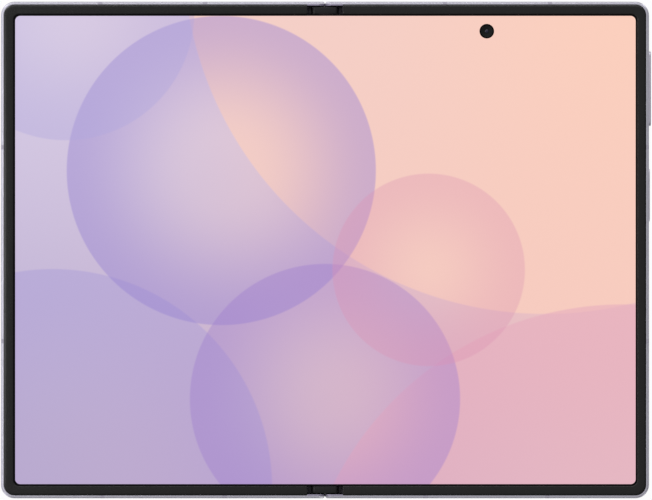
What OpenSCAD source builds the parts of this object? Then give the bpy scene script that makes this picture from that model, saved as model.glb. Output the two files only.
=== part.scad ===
/* [Body] */
// Width of the opened body, across the fold
open_w = 161.4; // [155:0.1:170]
// Height of the body, along the fold
body_h = 123.7; // [120:0.1:132]
// Thickness of one half at its metal rim
rim_t = 4.7; // [4.6:0.05:5.2]
// Gap between the two halves at the fold, open or closed
fold_gap = 0.1; // [0.06:0.01:0.2]
// Radius of the body's four outer corners
corner_r = 3.4; // [2.8:0.1:5]
// Radius of each half's small corners beside the fold
seam_corner_r = 0.6; // [0.3:0.1:0.9]
// Chamfer along the frame's outer edges
edge_chamfer = 0.3; // [0.1:0.05:0.4]
// Thickness of the frame's side walls
wall_t = 2; // [1.8:0.1:2.4]
// Thickness of the end walls that close the hinge channel
end_wall_t = 1; // [0.8:0.1:1.3]
// Thickness of the metal plate between screen and battery
mid_plate_t = 0.4; // [0.3:0.05:0.5]
// Width of the plastic antenna bands
band_w = 1.1; // [0.8:0.1:1.6]
// Depth of the antenna bands into the wall
band_depth = 1.2; // [0.8:0.1:1.4]

/* [Screen] */
// Width of the metal rim that shows round the bezel
rim_show_w = 0.75; // [0.6:0.05:0.9]
// Width of the raised bezel
bezel_w = 2.65; // [2.2:0.05:3]
// Rise of the bezel above the rim
bezel_rise = 0.2; // [0.1:0.05:0.25]
// Thickness of the bezel
bezel_t = 0.4; // [0.3:0.05:0.45]
// Width of the thin black line inside the bezel
line_w = 0.3; // [0.2:0.05:0.5]
// Thickness of the thin black line
line_t = 0.12; // [0.08:0.02:0.2]
// Radius of the lit screen's corners
screen_corner_r = 1.25; // [0.8:0.05:2]
// Thickness of the screen panel
panel_t = 0.5; // [0.4:0.05:0.6]
// How far the panel's edge lies inside the body's outline
panel_inset = 1.75; // [1.7:0.05:2]
// Half width of the part of the panel that bends
bend_half_w = 7; // [6.5:0.1:7.8]
// Distance from the fold to the screen camera
screen_cam_x = 40.3; // [38:0.1:42]
// Distance from the top edge to the screen camera
screen_cam_inset = 7.35; // [7:0.05:8.5]
// Diameter of the hole for the screen camera
screen_cam_d = 3.66; // [3.3:0.02:4]

/* [Back] */
// Thickness of the back glass and of the cover glass
glass_t = 0.5; // [0.4:0.05:0.55]
// How far the glass edge lies inside the body's outline
glass_inset = 1.2; // [1:0.05:1.3]
// Distance from the fold to the glass
glass_from_fold = 6.5; // [6.2:0.1:7]
// Height of the camera island over the back glass
island_rise = 1.4; // [1:0.1:1.8]
// Width of the camera island
island_w = 19; // [18:0.1:20]
// Length of the camera island
island_l = 46; // [44:0.1:48]
// Distance from the outer edges to the camera island
island_inset = 5; // [4.5:0.1:6]
// Diameter of the lens rings
lens_ring_d = 13.5; // [12:0.1:14]
// Distance between the lenses
lens_pitch = 16; // [15:0.1:17]

/* [Hinge] */
// Height of the hinge shafts over the back
axle_z = 2.6; // [2.55:0.01:2.65]
// Thickness of the back strip that covers the hinge
strip_t = 0.5; // [0.45:0.05:0.5]
// Running gap between the spine and the halves
spine_gap = 0.15; // [0.12:0.01:0.18]
// Wall of the spine's trough
trough_wall = 0.4; // [0.35:0.05:0.45]
// Diameter of the hinge shafts
axle_d = 1; // [0.9:0.02:1.1]
// Radial clearance of the arms on their shafts
axle_clear = 0.03; // [0.02:0.01:0.05]
// Outer diameter of the arm knuckles
knuckle_d = 2.2; // [2:0.05:2.4]
// Distance of the hinge modules from the middle
module_y = 36; // [32:0.5:40]
// Number of teeth on each small gear
gear_teeth = 10; // [10]
// Thickness of the gears along the shaft
gear_t = 1; // [0.8:0.05:1.1]
// Thickness of the bracket cheeks
cheek_t = 1; // [0.8:0.05:1.1]
// Diameter of the hinge screw heads
screw_head_d = 1.5; // [1.2:0.05:1.7]
// Thickness of the support plates under the fold
wing_t = 0.2; // [0.15:0.01:0.25]
// Distance from the fold to the support plates' pivots
wing_pivot_x = 8; // [7.9:0.05:8.2]
// Distance from the fold to the support plates' inner edges
wing_inner_x = 1.3; // [1.1:0.1:1.6]

/* [Keys and ports] */
// Length of the volume key
volume_l = 18.6; // [17:0.1:20]
// Distance from the upper edge to the middle of the volume key
volume_from_top = 21.65; // [20:0.05:24]
// How far the volume key stands out
volume_out = 0.55; // [0.4:0.05:0.7]
// Length of the side key with its touch sensor
power_l = 13.2; // [12.5:0.1:14]
// Distance from the upper edge to the middle of the side key
power_from_top = 48.2; // [46:0.05:50]
// How far the side key stands out
power_out = 0.25; // [0.2:0.05:0.4]
// Height of both keys across the edge
key_h = 1.9; // [1.7:0.05:2.1]
// Gap round the keys in their slots
key_clear = 0.12; // [0.1:0.01:0.15]
// Travel of the side key
power_travel = 0.2; // [0.15:0.01:0.22]
// Width of the connector's shell
port_w = 8.84; // [8.7:0.02:9]
// Height of the connector's shell
port_h = 2.96; // [2.9:0.02:3]
// Wall of the connector's shell
port_wall = 0.2; // [0.15:0.01:0.25]
// Depth of the connector's shell
port_depth = 7.5; // [7:0.1:8]
// Diameter of the speaker and microphone holes
grille_d = 1.1; // [0.9:0.05:1.3]
// Distance between the speaker holes
grille_pitch = 1.9; // [1.6:0.1:2.2]
// Width of the card tray along the edge
tray_w = 14; // [13:0.1:15]
// Length of the card tray into the body
tray_l = 16; // [15:0.1:18]
// Thickness of the card tray
tray_t = 1.2; // [1:0.05:1.4]
// Distance from the lower edge to the middle of the card tray
tray_from_edge = 19.85; // [18:0.05:22]

/* [Inside] */
// Thickness of the circuit boards
board_t = 0.6; // [0.5:0.05:0.8]
// Room for speaker, connector and motor below the battery of the camera half
lower_zone_l = 17; // [15:0.5:20]
// Room for the main board above the battery of the camera half
upper_zone_l = 40.7; // [36:0.1:44]
// Room for the card tray below the battery of the cover-screen half
tray_zone_l = 37; // [32:0.5:40]
// Room for the board above the battery of the cover-screen half
left_upper_zone_l = 20.7; // [18:0.1:26]
// Width of the board strip between battery and rear cameras
board_strip_w = 3.2; // [2:0.1:6]
// Width of the battery in the cover-screen half
left_battery_w = 54; // [50:0.5:58]
// Width of the vibration motor
haptic_w = 13; // [10:0.5:16]
// Width of the connector's board
usb_board_w = 18; // [14:0.5:20]
// Gap between the lower speaker and the right wall
speaker_wall_gap = 5; // [3:0.5:8]
// Length of the closing magnets
magnet_l = 6; // [4:0.5:8]
// Width of the closing magnets
magnet_w = 2.3; // [1.5:0.1:2.6]
// Distance from the lower edge to the first closing magnet
magnet_from_edge = 6; // [5:0.5:8]
// Gap round the parts inside
inner_gap = 0.15; // [0.1:0.01:0.2]
// Thickness of the wireless charging coil
coil_t = 0.25; // [0.2:0.01:0.3]
// Outer diameter of the wireless charging coil
coil_d = 38; // [34:0.5:40]
// Thickness of the heat-spreading chamber
chamber_t = 0.3; // [0.25:0.01:0.35]

/* [Hidden] */
$fn = 64;
// Small overshoot that lets a cut pass through a face
eps = 0.2;
// Half sizes and the levels of the layers, measured from the flat back
half_w = open_w / 2;
half_h = body_h / 2;
seam_x = fold_gap / 2;
top_z = rim_t + bezel_rise;
panel_top_z = top_z - bezel_t;
panel_z = panel_top_z - panel_t;
plate_z = panel_z - mid_plate_t;
seat_inset = panel_inset - 0.1;
// Hinge: each half turns about its own shaft
axle_x = top_z - axle_z + seam_x;
end_r = axle_x - seam_x;
channel_r = axle_z - strip_t;
channel_x = axle_x + channel_r;
trough_r = channel_r - spine_gap;
trough_in_r = trough_r - trough_wall;
spine_half_l = half_h - end_wall_t - 0.25;
cap_l = 1.8;
cap_half_w = axle_x + 0.9;
cap_top_z = axle_z + 1.8;
cap_round_r = 0.6;
axle_r = axle_d / 2;
knuckle_r = knuckle_d / 2;
// Hinge shelf, pockets and the wall where the inner space starts
shelf_z = axle_z;
rail_x = wing_pivot_x - 0.45;
plate_x = wing_pivot_x + 0.4;
pocket_x = plate_x + 3.8;
space_x = pocket_x + 0.4;
space_half_h = half_h - wall_t;
module_half_l = 8;
pocket_half_l = module_half_l + 0.4;
// Gear train: two shaft gears with two idlers in a shallow arc between them
gear_pitch_r = 0.8;
gear_tip_r = 0.94;
gear_root_r = 0.64;
idler_x = gear_pitch_r;
idler_drop = sqrt(4 * gear_pitch_r * gear_pitch_r - pow(axle_x - idler_x, 2));
idler_z = axle_z - idler_drop;
idler_pin_r = 0.25;
tooth_step = 360 / gear_teeth;
mesh_angle = atan2(-idler_drop, idler_x - axle_x);
// Places along a hinge module, from its middle
cheek_a = -module_half_l;
arm_a = cheek_a + cheek_t + 0.1;
cheek_b = -3;
arm_l = cheek_b - 0.1 - arm_a;
gear_a = cheek_b + cheek_t + 0.1;
cheek_c = gear_a + gear_t + 0.1;
spring_a = cheek_c + cheek_t + 0.1;
spring_t = 0.6;
spring_step = 0.72;
spring_count = 5;
collar_a = spring_a + spring_count * spring_step;
collar_t = 1;
cheek_d = collar_a + collar_t + 0.1;
shaft_l = cheek_d + cheek_t - cheek_a;
spring_r = 0.95;
cheek_top_z = axle_z + 0.6;
arm_low = 0.1;
arm_high = 0.6;
foot_x0 = channel_x + 0.4;
foot_x1 = pocket_x - 0.3;
screw_x = plate_x + 1.8;
screw_r = 0.4;
screw_head_t = 0.35;
screw_l = 1.5;
wing_z = panel_z - 0.1 - wing_t;
wing_pivot_z = wing_z - 0.15;
wing_bead_r = 0.3;
wing_half_l = half_h - 3.45;
bead_half_l = 12;
bend_half_l = half_h - 3.35;
// Back: camera island and lenses
island_x = half_w - island_inset - island_w / 2;
island_y = half_h - island_inset - island_l / 2;
lens_y0 = island_y + lens_pitch / 2 + 4.5;
lens_ring_w = 0.9;
lens_ring_out = 0.3;
lens_glass_d = lens_ring_d - 2 * lens_ring_w;
flash_y = lens_y0 - lens_pitch - 12.5;
flash_d = 5;
camera_body_w = 12.6;
screen_cam_y = half_h - screen_cam_inset;
// Keys: cap through the wall, flange behind it
edge_mid_z = rim_t / 2;
volume_y = half_h - volume_from_top;
power_y = half_h - power_from_top;
flange_x = half_w - 1.75;
flange_t = 0.4;
pocket_wall_x = half_w - 1.05;
flange_more = 0.8;
switch_t = 0.7;
switch_l = 3.2;
// Connector, speakers and tray
port_z = (glass_t + plate_z) / 2;
port_y = -half_h + 0.25;
grille_from_port = 13;
grille_first_x = screen_cam_x + grille_from_port;
tongue_w = 6.6;
ear_grille_from_cam = 14;
ear_speaker_l = 8;
ear_speaker_from_cam = 3.9;
tray_z = 2;
tray_y = -half_h + tray_from_edge;
tray_clear = 0.12;
band_x_top = [29.85, 56];
band_x_bottom = [25, 55.4];
band_from_top = 36.25;
band_from_bottom = 39.15;
band_y_side = [half_h - band_from_top, band_from_bottom - half_h];
// Insides of both halves
battery_x = space_x + 0.6;
part_gap = 1;
battery_y0 = -half_h + lower_zone_l;
battery_y1 = half_h - upper_zone_l;
camera_side_x = island_x - camera_body_w / 2 - 0.5;
battery_x1 = camera_side_x - board_strip_w - part_gap;
left_battery_y0 = -half_h + tray_zone_l;
left_battery_y1 = half_h - left_upper_zone_l;
board_z = glass_t + 1.1;
board_y = battery_y1 + part_gap;
side_board_y = battery_y0 + lower_zone_l;
side_can_l = 22;
left_board_y = left_battery_y1 + part_gap;
chamber_z = plate_z - chamber_t;
cover_cam_d = 3.6;
cover_panel_t = 0.5;
cover_panel_inset = 2.2;
left_floor_z = glass_t + cover_panel_t;
cam_block_w = 7.2;
cam_block_l = 6.4;
cam_block_h = 2.1;

function chamfered(a0, a1, z0, z1, c0, c1) = [
    [a0, z0 + c0], [a0 + c0, z0], [a1 - c1, z0], [a1, z0 + c1],
    [a1, z1 - c1], [a1 - c1, z1], [a0 + c0, z1], [a0, z1 - c0]
];

function tooth(k, step) = [
    for (p = [[gear_root_r, -9], [gear_pitch_r, -6.2], [gear_tip_r, -2.8],
              [gear_tip_r, 2.8], [gear_pitch_r, 6.2], [gear_root_r, 9]])
    [p[0] * cos(k * step + p[1]), p[0] * sin(k * step + p[1])]
];

// Puts a half on its side of the fold, with its flat back above the camera island
module half(side) {
    translate([0, 0, island_rise]) {
        if (side < 0) mirror([1, 0, 0]) children();
        else children();
    }
}

// Outline with rounded corners, from x0 to x1 and half_y to each side
module outline(x0, x1, half_y, r0, r1) {
    translate([x0 + r0, -half_y]) square([x1 - r1 - x0 - r0, 2 * half_y]);
    translate([x0, -half_y + r0]) square([(x1 - x0) / 2, 2 * (half_y - r0)]);
    translate([(x0 + x1) / 2, -half_y + r1]) square([(x1 - x0) / 2, 2 * (half_y - r1)]);
    for (s = [-1, 1]) {
        if (r0 > 0) translate([x0 + r0, s * (half_y - r0)]) circle(r = r0);
        if (r1 > 0) translate([x1 - r1, s * (half_y - r1)]) circle(r = r1);
    }
}

module slab(x0, x1, half_y, r0, r1, z0, z1) {
    translate([0, 0, z0]) linear_extrude(z1 - z0) outline(x0, x1, half_y, r0, r1);
}

// Block with the same outline and chamfered edges
module soft_slab(x0, x1, half_y, r0, r1, z0, z1, c) {
    translate([x0 + r0, 0, 0]) rotate([90, 0, 90])
        linear_extrude(x1 - r1 - x0 - r0) polygon(chamfered(-half_y, half_y, z0, z1, c, c));
    translate([0, half_y - r0, 0]) rotate([90, 0, 0])
        linear_extrude(2 * (half_y - r0)) polygon(chamfered(x0, x1 - r1, z0, z1, c, 0));
    translate([0, half_y - r1, 0]) rotate([90, 0, 0])
        linear_extrude(2 * (half_y - r1)) polygon(chamfered(x0 + r0, x1, z0, z1, 0, c));
    for (s = [-1, 1]) {
        translate([x0 + r0, s * (half_y - r0), 0]) puck(r0, z0, z1, c);
        translate([x1 - r1, s * (half_y - r1), 0]) puck(r1, z0, z1, c);
    }
}

module puck(r, z0, z1, c) {
    rotate_extrude() polygon([[0, z0], [r - c, z0], [r, z0 + c], [r, z1 - c], [r - c, z1], [0, z1]]);
}

module box(x0, x1, y0, y1, z0, z1) {
    translate([x0, y0, z0]) cube([x1 - x0, y1 - y0, z1 - z0]);
}

// Bar of a profile drawn in x and z, from y0 to y1
module along_y(y0, y1) {
    translate([0, y1, 0]) rotate([90, 0, 0]) linear_extrude(y1 - y0) children();
}

module rod_y(x, z, r, y0, y1) {
    translate([x, y1, z]) rotate([90, 0, 0]) cylinder(r = r, h = y1 - y0);
}

module each_module() {
    for (s = [-1, 1]) translate([0, s * module_y, 0]) children();
}

// Whole outer block of a half
module half_block() {
    difference() {
        soft_slab(seam_x, half_w, half_h, seam_corner_r, corner_r, 0, rim_t, edge_chamfer);
        // Round the upper inner edge about the shaft, so that the halves can turn
        difference() {
            box(-1, axle_x, -half_h - 1, half_h + 1, axle_z, rim_t + 1);
            rod_y(axle_x, axle_z, end_r, -half_h - 2, half_h + 2);
        }
    }
}

module band_boxes(xs_top, xs_bottom) {
    for (x = xs_top) box(x - band_w / 2, x + band_w / 2, half_h - band_depth, half_h + 1, -1, rim_t + 1);
    for (x = xs_bottom) box(x - band_w / 2, x + band_w / 2, -half_h - 1, -half_h + band_depth, -1, rim_t + 1);
    for (y = band_y_side) box(half_w - band_depth, half_w + 1, y - band_w / 2, y + band_w / 2, -1, rim_t + 1);
}

// Room that both frames leave for screen, glass, spine and insides
module frame_room() {
    slab(-1, half_w - rim_show_w, half_h - rim_show_w, 0, corner_r - rim_show_w, panel_top_z, rim_t + 1);
    slab(channel_x - 1, half_w - seat_inset, half_h - seat_inset, 0, corner_r - seat_inset,
         panel_z, panel_top_z + eps);
    slab(glass_from_fold, half_w - glass_inset, half_h - glass_inset, 0, corner_r - glass_inset,
         -1, glass_t);
    // Hinge channel
    rod_y(axle_x, axle_z, channel_r, -half_h + end_wall_t, half_h - end_wall_t);
    box(-1, axle_x, -half_h + end_wall_t, half_h - end_wall_t, strip_t, rim_t + 1);
    box(-1, channel_x, -half_h + end_wall_t, half_h - end_wall_t, axle_z, rim_t + 1);
    // Shelf under the support plate, and its rail
    box(channel_x - eps, rail_x, -space_half_h, space_half_h, shelf_z, rim_t + 1);
    box(rail_x - eps, plate_x, -space_half_h, space_half_h, wing_pivot_z, rim_t + 1);
    rod_y(wing_pivot_x, wing_pivot_z, wing_bead_r + 0.06, -space_half_h, space_half_h);
    each_module() box(channel_x, pocket_x, -pocket_half_l, pocket_half_l, shelf_z, rim_t + 1);
    // Holes for the arm screws
    each_module() for (t = [arm_a + 1.2, gear_a - 0.6])
        translate([screw_x, t, shelf_z - screw_l - 0.05]) cylinder(r = screw_r, h = screw_l + eps);
    // Inner space
    slab(space_x, half_w - wall_t, space_half_h, 0, corner_r - wall_t, glass_t - eps, plate_z);
}

module frame_body(xs_top, xs_bottom) {
    difference() {
        half_block();
        frame_room();
        band_boxes(xs_top, xs_bottom);
    }
}

module antenna_bands(xs_top, xs_bottom) {
    intersection() {
        difference() {
            half_block();
            frame_room();
        }
        band_boxes(xs_top, xs_bottom);
    }
}

// Long hole through the right wall for a key, with room for its flange
module key_slot(y, l) {
    hl = l / 2 + key_clear;
    hz = key_h / 2 + key_clear;
    box(pocket_wall_x - eps, half_w + 1, y - hl, y + hl, edge_mid_z - hz, edge_mid_z + hz);
    box(half_w - wall_t - eps, pocket_wall_x, y - hl - flange_more - 0.1, y + hl + flange_more + 0.1,
        edge_mid_z - hz - flange_more / 2, edge_mid_z + hz + flange_more / 2);
}

module key_cap(y, l, out) {
    box(flange_x + flange_t - 0.05, half_w + out, y - l / 2, y + l / 2,
        edge_mid_z - key_h / 2, edge_mid_z + key_h / 2);
    box(flange_x, flange_x + flange_t, y - l / 2 - flange_more, y + l / 2 + flange_more,
        edge_mid_z - key_h / 2 - flange_more / 2 + 0.05, edge_mid_z + key_h / 2 + flange_more / 2 - 0.05);
}

// Row of round holes through the lower or upper wall
module grille(x, count, y_side, z) {
    for (i = [0:count - 1])
        translate([x + i * grille_pitch, y_side * (half_h + 1), z]) rotate([90 * y_side, 0, 0])
            cylinder(d = grille_d, h = wall_t + 1 + eps);
}

module port_outline(grow) {
    h = port_h + 2 * grow;
    w = port_w + 2 * grow;
    square([w - h, h], center = true);
    for (s = [-1, 1]) translate([s * (w - h) / 2, 0]) circle(d = h);
}

module port_bar(grow, y0, y1) {
    translate([screen_cam_x, y1, port_z]) rotate([90, 0, 0]) linear_extrude(y1 - y0) port_outline(grow);
}

module island_hole(grow, z0, z1) {
    r = island_w / 2 + grow;
    translate([island_x, island_y, z0]) linear_extrude(z1 - z0) {
        square([2 * r, island_l - island_w], center = true);
        for (s = [-1, 1]) translate([0, s * (island_l - island_w) / 2]) circle(r = r);
    }
}

// Room for a screen camera's block in a board at level z
module cam_block_cut(z) {
    translate([screen_cam_x - cam_block_w / 2 - inner_gap, screen_cam_y - cam_block_l / 2 - inner_gap, z - 1])
        cube([cam_block_w + 2 * inner_gap, half_h, board_t + 2]);
}

module at_lenses() {
    for (i = [0, 1]) translate([island_x, lens_y0 - i * lens_pitch, 0]) children();
}

// ---- Right half ----

module right_frame() {
    color([0.74, 0.73, 0.78]) half(1) difference() {
        frame_body(band_x_top, band_x_bottom);
        key_slot(volume_y, volume_l);
        key_slot(power_y, power_l);
        port_bar(0.05, -half_h - 1, -half_h + wall_t + eps);
        grille(grille_first_x, 6, -1, edge_mid_z);
        grille(screen_cam_x - 11, 1, -1, edge_mid_z);
        grille(screen_cam_x + 8, 1, 1, edge_mid_z);
        translate([screen_cam_x, screen_cam_y, plate_z - eps])
            cylinder(d = screen_cam_d + 0.9, h = mid_plate_t + 2 * eps);
    }
}

module bezel() {
    bezel_in = rim_show_w + bezel_w - line_w;
    difference() {
        slab(channel_x, half_w - rim_show_w, half_h - rim_show_w, 0, corner_r - rim_show_w,
             panel_top_z, top_z);
        slab(-1, half_w - bezel_in, half_h - bezel_in, 0, screen_corner_r + line_w,
             panel_top_z - 1, top_z + 1);
    }
    difference() {
        slab(channel_x, half_w - bezel_in + eps, half_h - bezel_in + eps, 0,
             screen_corner_r + line_w + eps, panel_top_z, panel_top_z + line_t);
        slab(-1, half_w - bezel_in - line_w, half_h - bezel_in - line_w, 0, screen_corner_r,
             panel_top_z - 1, top_z);
    }
}

module right_bezel() {
    color([0.16, 0.16, 0.16]) half(1) bezel();
}

module right_antenna_bands() {
    color([0.6, 0.58, 0.64]) half(1) antenna_bands(band_x_top, band_x_bottom);
}

module rear_glass() {
    color([0.78, 0.75, 0.83]) half(1) difference() {
        slab(glass_from_fold + 0.05, half_w - glass_inset - 0.05, half_h - glass_inset - 0.05, 0,
             corner_r - glass_inset - 0.05, 0, glass_t);
        island_hole(0.05, -1, glass_t + 1);
    }
}

module camera_island() {
    color([0.7, 0.68, 0.74]) half(1) difference() {
        union() {
            island_hole(0, -island_rise + lens_ring_out, glass_t);
            island_hole(0.8, glass_t, glass_t + 0.3);
        }
        at_lenses() translate([0, 0, -island_rise]) cylinder(d = lens_ring_d, h = island_rise + 2);
        translate([island_x, flash_y, -island_rise]) cylinder(d = flash_d, h = island_rise + 2);
    }
}

module camera_lens_rings() {
    color([0.5, 0.49, 0.54]) half(1) at_lenses() translate([0, 0, -island_rise]) difference() {
        cylinder(d = lens_ring_d, h = island_rise + glass_t);
        translate([0, 0, -1]) cylinder(d = lens_glass_d, h = island_rise + glass_t + 2);
    }
}

module camera_lens_glass() {
    color([0.05, 0.05, 0.07]) half(1) at_lenses() translate([0, 0, -island_rise + 0.15])
        cylinder(d = lens_glass_d, h = 0.6);
}

module rear_camera_modules() {
    color([0.2, 0.2, 0.22]) half(1) at_lenses() {
        translate([-camera_body_w / 2, -camera_body_w / 2, glass_t + 0.3])
            cube([camera_body_w, camera_body_w, plate_z - glass_t - 0.3]);
        translate([0, 0, -island_rise + 0.75])
            cylinder(d = lens_glass_d - 1, h = island_rise + glass_t - 0.4);
    }
}

module flash_lens() {
    color([0.95, 0.93, 0.85]) half(1) translate([island_x, flash_y, -island_rise + lens_ring_out + 0.05])
        cylinder(d = flash_d, h = island_rise + glass_t);
}

module display_half(cam) {
    difference() {
        slab(bend_half_w, half_w - panel_inset, half_h - panel_inset, 0, corner_r - panel_inset,
             panel_z, panel_top_z);
        if (cam)
            translate([screen_cam_x, screen_cam_y, panel_z - 1]) cylinder(d = screen_cam_d, h = panel_t + 2);
    }
}

module display_right() {
    color([0.9, 0.78, 0.82]) half(1) display_half(true);
}

module inner_camera() {
    color([0.08, 0.08, 0.1]) half(1) translate([screen_cam_x, screen_cam_y, 0]) {
        translate([-cam_block_w / 2, -cam_block_l / 2, plate_z - cam_block_h])
            cube([cam_block_w, cam_block_l, cam_block_h]);
        translate([0, 0, plate_z - 0.05])
            cylinder(d = screen_cam_d - 0.1, h = panel_top_z - 0.08 - plate_z + 0.05);
    }
}

module right_battery() {
    color([0.12, 0.12, 0.13]) half(1)
        box(battery_x, battery_x1, battery_y0, battery_y1, glass_t + coil_t, chamber_z);
}

module main_board() {
    camera_y = lens_y0 - lens_pitch - camera_body_w / 2 - 0.5;
    color([0.1, 0.3, 0.2]) half(1) difference() {
        union() {
            box(battery_x, camera_side_x, board_y, space_half_h - 0.1, board_z, board_z + board_t);
            box(battery_x1 + part_gap, half_w - wall_t - 1.6, side_board_y, camera_y,
                board_z, board_z + board_t);
            box(battery_x1 + part_gap, camera_side_x, side_board_y, board_y + 2, board_z, board_z + board_t);
        }
        cam_block_cut(board_z);
    }
}

module shield_cans() {
    can_x = battery_x1 + 2 * part_gap;
    can_wall_x = half_w - wall_t - 2.6;
    can_y1 = side_board_y + side_can_l;
    can_l = space_half_h - board_y - 3 * part_gap;
    color([0.7, 0.7, 0.72]) half(1) {
        box(battery_x + part_gap, battery_x + part_gap + can_l / 2, board_y + part_gap,
            board_y + part_gap + can_l, board_z + board_t, plate_z);
        box(screen_cam_x + cam_block_w / 2 + part_gap, camera_side_x - part_gap, board_y + part_gap,
            board_y + part_gap + can_l, board_z + board_t, plate_z);
        box(battery_x + part_gap, battery_x + part_gap + can_l / 2, board_y + 2 * part_gap,
            board_y + can_l, glass_t, board_z);
        box(can_x, can_wall_x, side_board_y + part_gap, can_y1, board_z + board_t, plate_z);
        box(can_x + part_gap, can_wall_x - part_gap, side_board_y + 2 * part_gap,
            can_y1 - part_gap, glass_t, board_z);
    }
}

module usb_board() {
    color([0.1, 0.3, 0.2]) half(1) box(screen_cam_x - usb_board_w / 2, screen_cam_x + usb_board_w / 2,
        port_y + port_depth, battery_y0 - part_gap, glass_t, glass_t + 2 * board_t);
}

module usb_shell() {
    color([0.75, 0.75, 0.77]) half(1) difference() {
        port_bar(0, port_y, port_y + port_depth);
        port_bar(-port_wall, port_y - 1, port_y + port_depth - 0.4);
    }
}

module usb_tongue() {
    color([0.1, 0.1, 0.1]) half(1) box(screen_cam_x - tongue_w / 2, screen_cam_x + tongue_w / 2, port_y + 1,
        port_y + port_depth - 0.4, port_z - 0.35, port_z + 0.35);
}

module bottom_speaker() {
    color([0.15, 0.15, 0.16]) half(1) box(grille_first_x - 2, half_w - wall_t - speaker_wall_gap,
        -space_half_h + inner_gap, battery_y0 - part_gap, glass_t, plate_z - 0.1);
}

module haptic_motor() {
    color([0.6, 0.6, 0.62]) half(1) box(battery_x, battery_x + haptic_w, -space_half_h + inner_gap,
        battery_y0 - part_gap, glass_t, plate_z - 0.1);
}

module vapor_chamber() {
    color([0.72, 0.5, 0.35]) half(1) box(battery_x, battery_x1, battery_y0, battery_y1, chamber_z, plate_z);
}

module charging_coil() {
    color([0.75, 0.45, 0.25]) half(1)
        translate([(battery_x + battery_x1) / 2, (battery_y0 + battery_y1) / 2, glass_t]) difference() {
            cylinder(d = coil_d, h = coil_t);
            translate([0, 0, -1]) cylinder(d = coil_d / 2, h = coil_t + 2);
        }
}

module key_switches() {
    sw_x = flange_x - power_travel - 0.05;
    color([0.7, 0.7, 0.7]) half(1) for (y = [volume_y - volume_l / 3, volume_y + volume_l / 3, power_y])
        box(sw_x - switch_t, sw_x, y - switch_l / 2, y + switch_l / 2, glass_t, plate_z - 0.1);
}

// Closing magnets along the outer wall, each starting at a level of y
module magnets(ys, z) {
    for (y = ys) box(half_w - wall_t - magnet_w - 0.1, half_w - wall_t - 0.1, y, y + magnet_l, z, plate_z);
}

module right_magnets() {
    color([0.55, 0.55, 0.58]) half(1)
        magnets([-half_h + magnet_from_edge, -half_h + magnet_from_edge + magnet_l + 2 * part_gap], glass_t);
}

// ---- Hinge arms: knuckle, shaft gear and foot on the shelf ----

module gear(turn) {
    rotate(turn) polygon([for (k = [0:gear_teeth - 1]) each tooth(k, tooth_step)]);
}

module hinge_arm(turn) {
    foot_z1 = shelf_z + arm_high;
    difference() {
        union() {
            rod_y(axle_x, axle_z, knuckle_r, arm_a, arm_a + arm_l);
            box(axle_x, foot_x0 + 0.1, arm_a, arm_a + arm_l, axle_z + arm_low, axle_z + arm_high);
            box(axle_x, foot_x0 + 0.1, gear_a, gear_a + gear_t, axle_z + arm_low, axle_z + arm_high);
            translate([axle_x, gear_a + gear_t, axle_z]) rotate([90, 0, 0]) linear_extrude(gear_t) gear(turn);
            box(foot_x0, foot_x1, arm_a, gear_a + gear_t, shelf_z, foot_z1);
        }
        rod_y(axle_x, axle_z, axle_r + axle_clear, cheek_a - 1, gear_a + gear_t + 1);
        for (t = [arm_a + 1.2, gear_a - 0.6])
            translate([screw_x, t, shelf_z - 1]) cylinder(r = screw_r + 0.03, h = 3);
    }
}

// Arms of one half; phase turns the gears by half a tooth where the mesh asks for it
module hinge_arms(phase) {
    each_module() hinge_arm(mesh_angle + phase);
}

module hinge_screws() {
    each_module() for (t = [arm_a + 1.2, gear_a - 0.6]) translate([screw_x, t, 0]) {
        translate([0, 0, shelf_z - screw_l]) cylinder(r = screw_r - 0.01, h = screw_l + arm_high + 0.1);
        translate([0, 0, shelf_z + arm_high]) difference() {
            cylinder(d = screw_head_d, h = screw_head_t);
            translate([0, 0, screw_head_t - 0.2]) cylinder(d = 0.6, h = 1);
        }
    }
}

module right_hinge_arms() {
    color([0.6, 0.6, 0.64]) half(1) hinge_arms(0);
}

module right_hinge_screws() {
    color([0.4, 0.4, 0.42]) half(1) hinge_screws();
}

module volume_key() {
    color([0.72, 0.71, 0.76]) half(1) key_cap(volume_y, volume_l, volume_out);
}

module power_key() {
    color([0.72, 0.71, 0.76]) half(1) difference() {
        key_cap(power_y, power_l, power_out);
        box(half_w + power_out - 0.3, half_w + 1, power_y - power_l / 2 + 0.6, power_y + power_l / 2 - 0.6,
            edge_mid_z - key_h / 2 + 0.3, edge_mid_z + key_h / 2 - 0.3);
    }
}

module fingerprint_sensor() {
    color([0.3, 0.3, 0.33]) half(1) box(half_w + power_out - 0.3, half_w + power_out - 0.05,
        power_y - power_l / 2 + 0.65, power_y + power_l / 2 - 0.65,
        edge_mid_z - key_h / 2 + 0.35, edge_mid_z + key_h / 2 - 0.35);
}

// ---- Spine ----

module trough_profile(r) {
    intersection() {
        union() {
            for (s = [-1, 1]) translate([s * axle_x, axle_z]) circle(r = r);
            translate([-axle_x, axle_z - r]) square([2 * axle_x, r]);
        }
        translate([-axle_x - r - 1, -1]) square([2 * (axle_x + r + 1), axle_z + 1]);
    }
}

module spine_cover() {
    color([0.45, 0.44, 0.48]) half(1) difference() {
        along_y(-spine_half_l, spine_half_l) trough_profile(trough_r);
        along_y(-spine_half_l - 1, spine_half_l + 1) trough_profile(trough_in_r);
        along_y(-spine_half_l - 1, spine_half_l + 1)
            translate([-axle_x - trough_in_r, axle_z - eps]) square([2 * (axle_x + trough_in_r), 1]);
    }
}

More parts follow.
